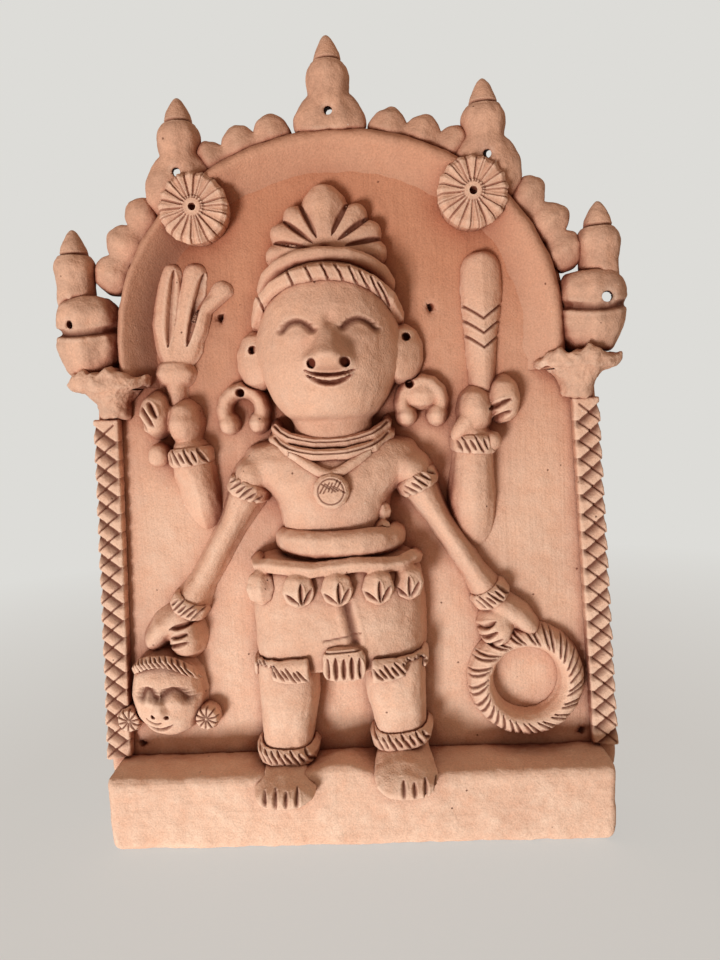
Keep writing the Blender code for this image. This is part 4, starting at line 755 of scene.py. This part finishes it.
def draw_nose(piece, x, bridge, tip, narrow, wide, proud):
    """A wedge drawn out between finger and thumb: flat on its ridge, steep at its sides and below."""
    spots, facing = places(piece)
    down = np.clip((bridge - spots[:, 2]) / (bridge - tip), 0, 1)
    half = narrow + (wide - narrow) * down
    flank = np.clip((half - np.abs(spots[:, 0] - x)) / (0.85 * half), 0, 1)
    under = np.clip((spots[:, 2] - tip) / (0.5 * (bridge - tip)) + 0.5, 0, 1)
    for ease in (down, flank, under):
        ease *= ease * (3 - 2 * ease)
    spots[:, 1] += proud * down * flank * under * (facing[:, 1] > 0)
    put_back(piece, spots)


head = soft_clay("head", grain=0.66, rubs=120, swell=0.5, lumps=1.2, marks=0.25)
left, right, neck, _ = extent("head")
middle = (left + right) / 2
NOSE_X = middle + 2.2
BRIDGE = neck + 67.0
TIP = neck + 45.5
NOSTRIL_SPREAD = 8.6
EYES = (NOSE_X - 16.5, NOSE_X + 17.0)
EYE_Z = neck + 64.0
MOUTH_Z = neck + 41.2
CHEEK_Z = neck + 52.0
CHEEK_FLARE = 9.0
CHEEK_SPREAD = 15.0
CHEEK_DEPTH = 32.0
spots, _ = places(head)
flange = np.exp(-((spots[:, 2] - CHEEK_Z) / CHEEK_SPREAD) ** 2)
flange *= np.clip(1 - spots[:, 1] / CHEEK_DEPTH, 0, 1)
spots[:, 0] += CHEEK_FLARE * flange * np.clip((spots[:, 0] - middle) / 30, -1, 1)
put_back(head, spots)
draw_nose(head, NOSE_X, BRIDGE, TIP, narrow=4.5, wide=17.0, proud=4.8)
press(head, NOSE_X, TIP + 3, wide=9, high=5, depth=-1.8)
press(head, NOSE_X + 1, BRIDGE, wide=3.5, high=5, depth=2.2)
for x in EYES:
    press(head, x, EYE_Z - 3, wide=8, high=6, depth=0.8)
    score(head, [arc(x - 8.5, EYE_Z, x + 8.5, EYE_Z - 0.8, sag=4.6)], width=2.2, depth=2.4, slope=3.7)
    press(head, x, EYE_Z - 5, wide=7.5, high=4.5, depth=-1.6)
for _, side in SIDES:
    press(head, NOSE_X + 1.2 * side * NOSTRIL_SPREAD, TIP + 1.5, wide=4.2, high=4, depth=-3.2)
    poke(head, NOSE_X + side * NOSTRIL_SPREAD, TIP - 0.5, radius=2.7, depth=6)
upper_lip = arc(NOSE_X - 13, MOUTH_Z + 0.4, NOSE_X + 13.5, MOUTH_Z, sag=-2.6)
lower_lip = arc(NOSE_X - 12, MOUTH_Z - 2, NOSE_X + 12, MOUTH_Z - 2.5, sag=-4.2)
score(head, [upper_lip], width=2.3, depth=3.2, leaf=True)
press(head, NOSE_X, MOUTH_Z - 3.4, wide=12, high=1.5, depth=-1.8)
score(head, [lower_lip], width=2.8, depth=3.4, leaf=True)
press(head, NOSE_X, MOUTH_Z - 10, wide=10, high=3.6, depth=-1.2)
dress(head, rubbed_terracotta, "head")

# Ears and earrings
# Pinched flaps of clay, and under each lobe a looped coil with two pellets. Two holes are poked in
# each, measured in from the ear's outer edge and up from its lobe, where one goes into the coil.
EAR_HOLES = {-1: ((10.79, 22.66), (1.29, -0.54)), 1: ((9.39, 25.96), (8.39, -0.04))}
EAR_SET = 5.0
EAR_RIM = 0.42
EAR_ROOT = 0.7
for word, side in SIDES:
    left, right, lobe, _ = extent("ear_" + word)
    outer = outer_edge("ear_" + word, side)
    ear = soft_clay("ear_" + word, grain=0.5, rubs=36, swell=0.6)
    spots, _ = places(ear)
    inner = np.clip(side * (outer - spots[:, 0]) / (right - left), 0, 1)
    spots[:, 0] -= side * EAR_SET * inner
    spots[:, 1] *= np.where(spots[:, 1] > 0, EAR_RIM + EAR_ROOT * inner, 1)
    put_back(ear, spots)
    loop = soft_clay("earring_" + word, grain=0.5, rubs=36, swell=0.6)
    for inset, rise in EAR_HOLES[side]:
        for piece in (ear, loop):
            poke(piece, outer - side * inset, lobe + rise, radius=2.5, depth=7)
    dress(ear, rubbed_terracotta, "ear_" + word)
    dress(loop, scored_terracotta, "earring_" + word)

# Headband, turban coil and crest
# A twisted band over the brow, a smooth coil above it, and a fan of clay set upright behind them,
# cut into lobes by deep strokes of a stick.
BAND_TURNS = (-60, -24, -9, 3, 14, 25, 35, 45, 55)
BAND_SHARE = 0.92
BAND_BELOW_TOP = 5.0
BAND_SLOPE = 26.0
CREST_CUTS = ((-25, 9, 33), (-49, 8, 31), (-74, 8, 30), (26, 10, 32), (52, 10, 33), (76, 12, 34))
CREST_ROOT = 6.57
band = soft_clay("headband", grain=0.55, rubs=12, swell=0.4)
left, right, _, top = extent("headband")
middle, reach = (left + right) / 2, BAND_SHARE * (right - left) / 2
cuts = []
for k, turn in enumerate(BAND_TURNS):
    x = middle + reach * math.sin(math.radians(turn))
    z = top - BAND_BELOW_TOP - BAND_SLOPE * (1 - math.cos(math.radians(turn)))
    cuts.append([(x - 2.4 + 0.4 * math.sin(3 * k), z + 5), (x + 0.4 * math.sin(5 * k), z), (x + 2.2, z - 6)])
score(band, cuts, width=1.5, depth=2.0)
dress(band, scored_terracotta, "headband")
turban = soft_clay("turban_coil", grain=0.6, rubs=60, swell=0.5)
dress(turban, rubbed_terracotta, "turban_coil")
crest = soft_clay("crest", grain=0.55, rubs=70, swell=0.8)
left, right, bottom, _ = extent("crest")
root_x, root_z = (left + right) / 2, bottom + CREST_ROOT
cuts = [spoke(root_x, root_z, math.radians(turn), near, far) for turn, near, far in CREST_CUTS]
score(crest, cuts, width=3.2, depth=1.3, leaf=True)
dress(crest, rubbed_terracotta, "crest")

# Necklaces
# A choker of thin coils laid one on another, and a cord of clay that hangs in a V to a flat disc,
# ringed and scratched with the stick.
CHOKER_COIL = 6.6
CHOKER_SLOPE = 13.0
PENDANT_RING = 0.72
choker = soft_clay("choker", grain=0.5, rubs=12, swell=0.35)
left, right, bottom, _ = extent("choker")
middle, half = (left + right) / 2, (right - left - CHOKER_COIL) / 2
grooves = []
for coil in range(2):
    z = bottom + (0.5 + 0.95 * coil) * CHOKER_COIL
    turns = [math.radians(turn) for turn in range(-75, 76, 15)]
    grooves.append([(middle + half * math.sin(turn), z + CHOKER_SLOPE * (1 - math.cos(turn)))
                    for turn in turns])
score(choker, grooves, width=1.6, depth=1.6, dark=0.8)
dress(choker, rubbed_terracotta, "choker")
cord = soft_clay("pendant_cord", grain=0.5, rubs=24, swell=0.6)
dress(cord, rubbed_terracotta, "pendant_cord")
pendant = soft_clay("pendant", grain=0.45, rubs=6, swell=0.3)
left, right, _, _ = extent("pendant")
x, z = centre("pendant")
radius = PENDANT_RING * (right - left) / 2
turns = [2 * math.pi * k / 24 for k in range(25)]
score(pendant, [[(x + radius * math.cos(turn), z + radius * math.sin(turn)) for turn in turns]],
      width=1.2, depth=0.9)
scratches = hatch(x, z + 2.5, 2.2, 0.3, count=5, lean=60, length=6)
scratches += hatch(x + 1, z + 2, 2.4, -0.6, count=4, lean=-35, length=6)
score(pendant, scratches, width=1.0, depth=0.9)
dress(pendant, scored_terracotta, "pendant")

# Arms and their bands
# Rolled coils, smoothed into the slab at the elbows. Fingers are three wedge slits, placed in from
# the arm's outer edge and up from its lowest point, and palms are pellets, placed down from its
# top. Every armlet and bracelet is a strap of clay with slanting cuts.
FINGERS = {"arm_lower_left": {"inset": 23.2, "rise": 15.9, "step": (-1.0, -5.5), "lean": 15},
           "arm_lower_right": {"inset": 29.8, "rise": 8.9, "step": (2.2, -5.3), "lean": 35},
           "arm_upper_left": {"inset": 6.0, "rise": 91.5, "step": (3.8, 3.7), "lean": -60},
           "arm_upper_right": {"inset": 11.4, "rise": 83.0, "step": (1.3, -6.3), "lean": 22}}
FINGER_SLIT = 12.0
PALMS = {-1: ({"inset": 9.58, "drop": 36.0, "out": 6, "wide": 6, "deep": 7, "high": 6.5},),
         1: ({"inset": 31.48, "drop": 25.5, "out": 8, "wide": 4.5, "deep": 8, "high": 12, "lean": 38},
             {"inset": 17.58, "drop": 36.0, "out": 9, "wide": 5, "deep": 7, "high": 5})}
FOREARM_FLARE = {-1: 3.2, 1: 1.6}
SLIM = 0.26
ARM_BULK = 19.0
FADE_BELOW_TOP = {-1: 35.0, 1: 51.0}
FADE_REACH = 48.0
FADE_DEPTH = {-1: 15.0, 1: 10.8}
FADE_SPREAD = 0.4
SLICE = 4.0
SMOOTHED_SIDE = 8.0
SUNK = 4.0
SNUG = 0.04


def pellet(node, side, inset, drop, out, wide, deep, high, lean=0.0):
    """A rolled lump on an arm, by its place and half sizes, leaned to the right."""
    x, z = outer_edge(node, side) - side * inset, extent(node)[3] - drop
    form = bmesh.new()
    bmesh.ops.create_icosphere(form, subdivisions=3, radius=1.0)
    c, s = math.cos(math.radians(lean)), math.sin(math.radians(lean))
    for vertex in form.verts:
        across, inward, up = wide * vertex.co.x, deep * vertex.co.y, high * vertex.co.z
        leaned = x + across * c + up * s, FACE - out + inward, z - across * s + up * c
        vertex.co = [place * MM for place in leaned]
    return form


def slender(piece, word):
    """Thins an arm about its own line; this fades out at the wrist, and where the shoulder begins."""
    elbow = np.array(centre("armlet_" + word))
    run = centre("bracelet_lower_" + word) - elbow
    spots, _ = places(piece)
    flat = spots[:, (0, 2)] - elbow
    along = flat @ run / (run @ run)
    off = flat - along[:, None] * run
    slim = SLIM * np.clip((0.98 - along) / 0.2, 0, 1) * np.clip(along / 0.3, 0, 1)
    slim *= np.clip((ARM_BULK - np.linalg.norm(off, axis=1)) / 4, 0, 1)
    spots[:, 0] -= slim * off[:, 0]
    spots[:, 2] -= slim * off[:, 1]
    spots[:, 1] *= np.where(spots[:, 1] > 0, 1 - 0.7 * slim, 1)
    put_back(piece, spots)


def finger_slits(node, side):
    """Three slits across a hand."""
    hand = FINGERS[node]
    x, z = outer_edge(node, side) - side * hand["inset"], extent(node)[2] + hand["rise"]
    return hatch(x, z, *hand["step"], count=3, lean=hand["lean"], length=FINGER_SLIT, drift=0.12)


for word, side in SIDES:
    node = "arm_lower_" + word
    below = severed(node, *centre("armlet_" + word), -side * ARM_RUN[0], -ARM_RUN[1])
    arm = soft_clay(node, grain=0.7, rubs=60, swell=0.4, lumps=1.2, forms=[below])
    smear(arm, FOREARM_FLARE[side], height=9.0)
    slender(arm, word)
    score(arm, finger_slits(node, side), width=3.4, depth=3.4, leaf=True)
    dress(arm, rubbed_terracotta, node)

    node = "arm_upper_" + word
    palms = [pellet(node, side, **palm) for palm in PALMS[side]]
    arm = soft_clay(node, grain=0.7, rubs=55, swell=0.5, lumps=1.2, forms=[packed_form(node), *palms])
    smear(arm, flare=1.6, height=6.0)
    score(arm, finger_slits(node, side), width=3.6, depth=3.6, leaf=True)
    spots, _ = places(arm)
    fade_from = extent(node)[3] - FADE_BELOW_TOP[side]
    levels = np.arange(spots[:, 2].min(), fade_from, SLICE)
    middles = [np.mean(spots[np.abs(spots[:, 2] - level) < SLICE, 0]) for level in levels]
    fade = np.clip((fade_from - spots[:, 2]) / FADE_REACH, 0, 1)
    off = spots[:, 0] - np.interp(spots[:, 2], levels, middles)
    spots[:, 0] += FADE_SPREAD * fade * off
    spots[:, 1] -= FADE_DEPTH[side] * fade ** 2
    if side < 0:
        wrist = np.clip((fade_from - 6 - spots[:, 2]) / 14, 0, 1)
        spots[:, 1] -= SMOOTHED_SIDE * wrist * np.clip(0.3 - off / 9, 0, 1)
    spots[:, 1] = np.maximum(spots[:, 1], -SUNK)
    put_back(arm, spots)
    dress(arm, rubbed_terracotta, node)

    for node, lean, step_x, step_z in (("armlet_" + word, -side * 33, 2.3, side * 2.6),
                                       ("bracelet_lower_" + word, -side * 38, 2.6, side * 1.6),
                                       ("bracelet_upper_" + word, -64, 3.6, 0.2)):
        strap = soft_clay(node, grain=0.5, rubs=6, swell=0.3)
        x, z = centre(node)
        if "armlet" in node:
            spots, _ = places(strap)
            spots -= SNUG * (spots - (x, 0, z)) * (1, 0.6, 1)
            put_back(strap, spots)
        cuts = hatch(x, z, step_x, step_z, count=6, lean=lean, length=9)
        score(strap, cuts, width=2.0, depth=1.8, leaf=True)
        dress(strap, scored_terracotta, node)

# Trident and club
# Both are rolled clay in low relief, smoothed down to the slab. The trident's prongs are parted by
# long grooves, and the club has a ridge down its face and three chevron cuts.
LOW_RELIEF = 0.75
SQUEEZE_FROM = 21.6
SQUEEZE = 0.45
CLUB_RIDGE = 1.6
CHEVRONS = 3
CHEVRON_TOP = 0.54
CHEVRON_PITCH = 0.1
CHEVRON_RISE = 8.0
trident = soft_clay("trident", grain=0.55, rubs=30, swell=0.8)
left, _, bottom, top = extent("trident")
grooves = [[(left + 15, top - 3), (left + 12, top - 24), (left + 9, top - 46)],
           [(left + 32, top - 6), (left + 28, top - 19), (left + 20, top - 46)]]
smear(trident, flare=1.8, height=5.0)
spots, _ = places(trident)
waist = np.clip((top - 18 - spots[:, 2]) / 10, 0, 1) * np.clip((spots[:, 2] - bottom - 26) / 12, 0, 1)
spots[:, 0] -= SQUEEZE * waist * np.maximum(spots[:, 0] - left - SQUEEZE_FROM, 0)
spots[:, 1] *= np.where(spots[:, 1] > 0, LOW_RELIEF, 1)
put_back(trident, spots)
score(trident, grooves, width=5.0, depth=2.4, leaf=True, dark=0.4)
dress(trident, rubbed_terracotta, "trident")
club = soft_clay("club", grain=0.55, rubs=80, swell=0.7)
smear(club, flare=1.6, height=4.0)
left, right, bottom, top = extent("club")
middle = (left + right) / 2
chevrons = []
for k in range(CHEVRONS):
    z = bottom + (CHEVRON_TOP - CHEVRON_PITCH * k) * (top - bottom)
    chevrons.append([(left, z + CHEVRON_RISE), (middle, z), (right, z + CHEVRON_RISE)])
spots, facing = places(club)
spots[:, 1] += CLUB_RIDGE * np.clip(1 - np.abs(spots[:, 0] - middle) / 9, 0, 1) * (facing[:, 1] > 0)
put_back(club, spots)
score(club, chevrons, width=1.6, depth=1.8)
dress(club, rubbed_terracotta, "club")

# Trophy head
# A small clay head hung by its hair: eyes are thumbed hollows under raised brows, the nose is a
# pinched wedge, the mouth two knife strokes, and its disc earrings are cut like little wheels.
TROPHY_RELIEF = 0.8
BAND_FALL = {-1: 3.0, 1: 10.0}
BAND_PROUD = 1.05
SPOKES = 10
trophy = soft_clay("trophy_head", grain=0.55, rubs=40, swell=0.4)
x, z = centre("trophy_head")
smear(trophy, flare=2.0, height=6.0)
spots, _ = places(trophy)
spots[:, 1] *= np.where(spots[:, 1] > 0, TROPHY_RELIEF, 1)
put_back(trophy, spots)
draw_nose(trophy, x - 1.7, z + 7, z - 9, narrow=2.0, wide=7.0, proud=5.0)
left_brow = arc(x - 13, z + 2, x - 4.5, z + 3, sag=5.2)
right_brow = arc(x + 0.5, z + 3.5, x + 15.5, z + 0.5, sag=5.2)
score(trophy, [left_brow], width=1.6, depth=2.6, slope=5.0)
score(trophy, [right_brow], width=1.6, depth=2.6, slope=5.5)
press(trophy, x - 9, z - 1.5, wide=4.5, high=3.5, depth=-1.4)
press(trophy, x + 8, z - 2, wide=6.5, high=4, depth=-1.4)
for hole_x, hole_z in ((x - 6.2, z - 10.2), (x + 1.8, z - 10.6)):
    poke(trophy, hole_x, hole_z, radius=1.5, depth=3)
upper_lip = arc(x - 11, z - 11.5, x - 1.5, z - 14, sag=-2.4)
lower_lip = arc(x - 11.5, z - 16.5, x + 4.5, z - 16, sag=-3.4)
score(trophy, [upper_lip], width=2.2, depth=2.0, leaf=True)
score(trophy, [lower_lip], width=3.0, depth=3.0, leaf=True)
dress(trophy, rubbed_terracotta, "trophy_head")
band = soft_clay("trophy_headband", grain=0.5, rubs=8, swell=0.3)
left, right, _, top = extent("trophy_headband")
middle = (left + right) / 2
cuts = hatch(middle, top - 5, (right - left) / 14, 0, count=13, lean=-58, length=11)
score(band, cuts, width=1.8, depth=1.7, leaf=True)
spots, _ = places(band)
share = (spots[:, 0] - middle) / (right - middle)
spots[:, 2] -= np.where(share < 0, BAND_FALL[-1], BAND_FALL[1]) * share ** 2
spots[:, 1] *= np.where(spots[:, 1] > 0, BAND_PROUD, 1)
put_back(band, spots)
dress(band, scored_terracotta, "trophy_headband")
for word, _ in SIDES:
    node = "trophy_earring_" + word
    disc = soft_clay(node, grain=0.45, rubs=6, swell=0.3)
    x, z = centre(node)
    turns = [2 * math.pi * (k + 0.5) / SPOKES - 0.2 for k in range(SPOKES)]
    spokes = [spoke(x, z, turn, near=1.2, far=6.8) for turn in turns]
    score(disc, spokes, width=1.3, depth=1.4)
    dress(disc, scored_terracotta, node)

# Rope ring
# A closed coil of clay hung from the lower right hand, pressed on to the slab and cut on the slant
# all round its outer half, as rope is laid.
LAY_CUTS = 36
LAY_INNER = 0.7
LAY_OUTER = 1.04
LAY_LEAN = math.radians(15.6)
ring = soft_clay("rope_ring", grain=0.6, rubs=34, swell=0.7)
smear(ring, flare=1.5, height=4.0)
left, right, _, _ = extent("rope_ring")
x, z = centre("rope_ring")
radius = (right - left) / 2
lay = []
for k in range(LAY_CUTS):
    turn = math.pi / 2 - 2 * math.pi * (k + 0.2 * math.sin(3 * k)) / LAY_CUTS
    lay.append(spoke(x, z, turn, LAY_INNER * radius, LAY_OUTER * radius, twist=-LAY_LEAN))
spots, _ = places(ring)
away = spots[:, (0, 2)] - (x, z)
reach = np.linalg.norm(away, axis=1)
wider = 0.1 * radius * np.clip((0.78 * radius - reach) / (0.3 * radius), 0, 1) / reach
spots[:, 0] += wider * away[:, 0]
spots[:, 2] += wider * away[:, 1]
put_back(ring, spots)
score(ring, lay, width=2.2, depth=1.8, leaf=True)
dress(ring, scored_terracotta, "rope_ring")

# Floor, light and camera
# A pale floor that fades into the background, one broad soft lamp from low on the left, as in the
# picture, and an even sky. The camera stands where the picture was taken.
BACKGROUND = "#DDDCD8"
SKY = "#F6CFB0"
SKY_STRENGTH = 0.39
WINDOW_LIGHT = "#FFFBF6"
WINDOW_WATTS = 52.0
WINDOW_SIZE = 0.6
WINDOW_PLACE = (-1.04, -1.92, -0.8)
WINDOW_AIM = (0.0, 0.0, 0.22)
FLOOR_RADIUS = 3.0
FLOOR_DROP = 0.5
FOCAL_PIXELS = 740.0
FRAME_HEIGHT = 960.0
CAMERA_TURN = (6.02, 2.21, -2.47)
CAMERA_PLACE = (24.4, 431.3, 252.1)


def looked_at(tree):
    """One where the camera, or a gloss, sees the surface; nought where it only gives light."""
    ray = add(tree, "LightPath", {}).outputs
    return add(tree, "Math", {0: ray["Is Camera Ray"], 1: ray["Is Glossy Ray"]}, operation="MAXIMUM")


floor_mesh = bpy.data.meshes.new("floor")
disc = bmesh.new()
bmesh.ops.create_circle(disc, cap_ends=True, segments=96, radius=FLOOR_RADIUS)
disc.to_mesh(floor_mesh)
disc.free()
floor = in_scene("floor", floor_mesh)
floor.location.z = -FLOOR_DROP * MM
floor.visible_shadow = False
pale = bpy.data.materials.new("pale_floor")
pale.use_nodes = True
tree = pale.node_tree
tree.nodes.clear()
place = add(tree, "TexCoord", {}).outputs["Object"]
away = add(tree, "VectorMath", {0: place}, operation="LENGTH").outputs["Value"]
fade = ramp(tree, away, 0.25, 0.9, low=0.72)
fade = add(tree, "Math", {0: fade, 1: looked_at(tree)}, operation="MULTIPLY")
lit = add(tree, "BsdfDiffuse", {"Color": linear(BACKGROUND)})
glow = add(tree, "Emission", {"Color": linear(BACKGROUND)})
mixed = add(tree, "MixShader", {0: fade, 1: lit, 2: glow})
add(tree, "OutputMaterial", {"Surface": mixed})
floor_mesh.materials.append(pale)

world = bpy.data.worlds.new("sky")
bpy.context.scene.world = world
world.use_nodes = True
tree = world.node_tree
tree.nodes.clear()
sky = add(tree, "Background", {"Color": linear(SKY), "Strength": SKY_STRENGTH})
backdrop = add(tree, "Background", {"Color": linear(BACKGROUND), "Strength": 1.0})
mixed = add(tree, "MixShader", {0: looked_at(tree), 1: sky, 2: backdrop})
add(tree, "OutputWorld", {"Surface": mixed})

lamp = bpy.data.lights.new("window", "AREA")
lamp.energy = WINDOW_WATTS
lamp.size = WINDOW_SIZE
lamp.color = linear(WINDOW_LIGHT)[:3]
window = in_scene("window", lamp)
window.location = WINDOW_PLACE
aim = Vector(WINDOW_AIM) - window.location
window.rotation_euler = aim.to_track_quat("-Z", "Y").to_euler()

lens = bpy.data.cameras.new("camera")
lens.sensor_fit = "VERTICAL"
lens.sensor_height = 24.0
lens.lens = lens.sensor_height * FOCAL_PIXELS / FRAME_HEIGHT
camera = in_scene("camera", lens)
pitch, yaw, roll = (math.radians(turn) for turn in CAMERA_TURN)
turned = Matrix.Rotation(roll, 3, "Z") @ Matrix.Rotation(yaw, 3, "Y") @ Matrix.Rotation(pitch, 3, "X")
# Rows of turned are the camera's right, down and forward in picture axes: across, down and inward
axes = Matrix(((1, 0, 0), (0, 0, 1), (0, -1, 0)))
right_way, down_way, forward = (axes @ turned.row[k] for k in range(3))
pose = Matrix((right_way, -down_way, -forward)).transposed().to_4x4()
pose.translation = (CAMERA_PLACE[0] * MM, (FACE - CAMERA_PLACE[1]) * MM, CAMERA_PLACE[2] * MM)
camera.matrix_world = pose
bpy.context.scene.camera = camera
bpy.context.scene.view_settings.view_transform = "Standard"
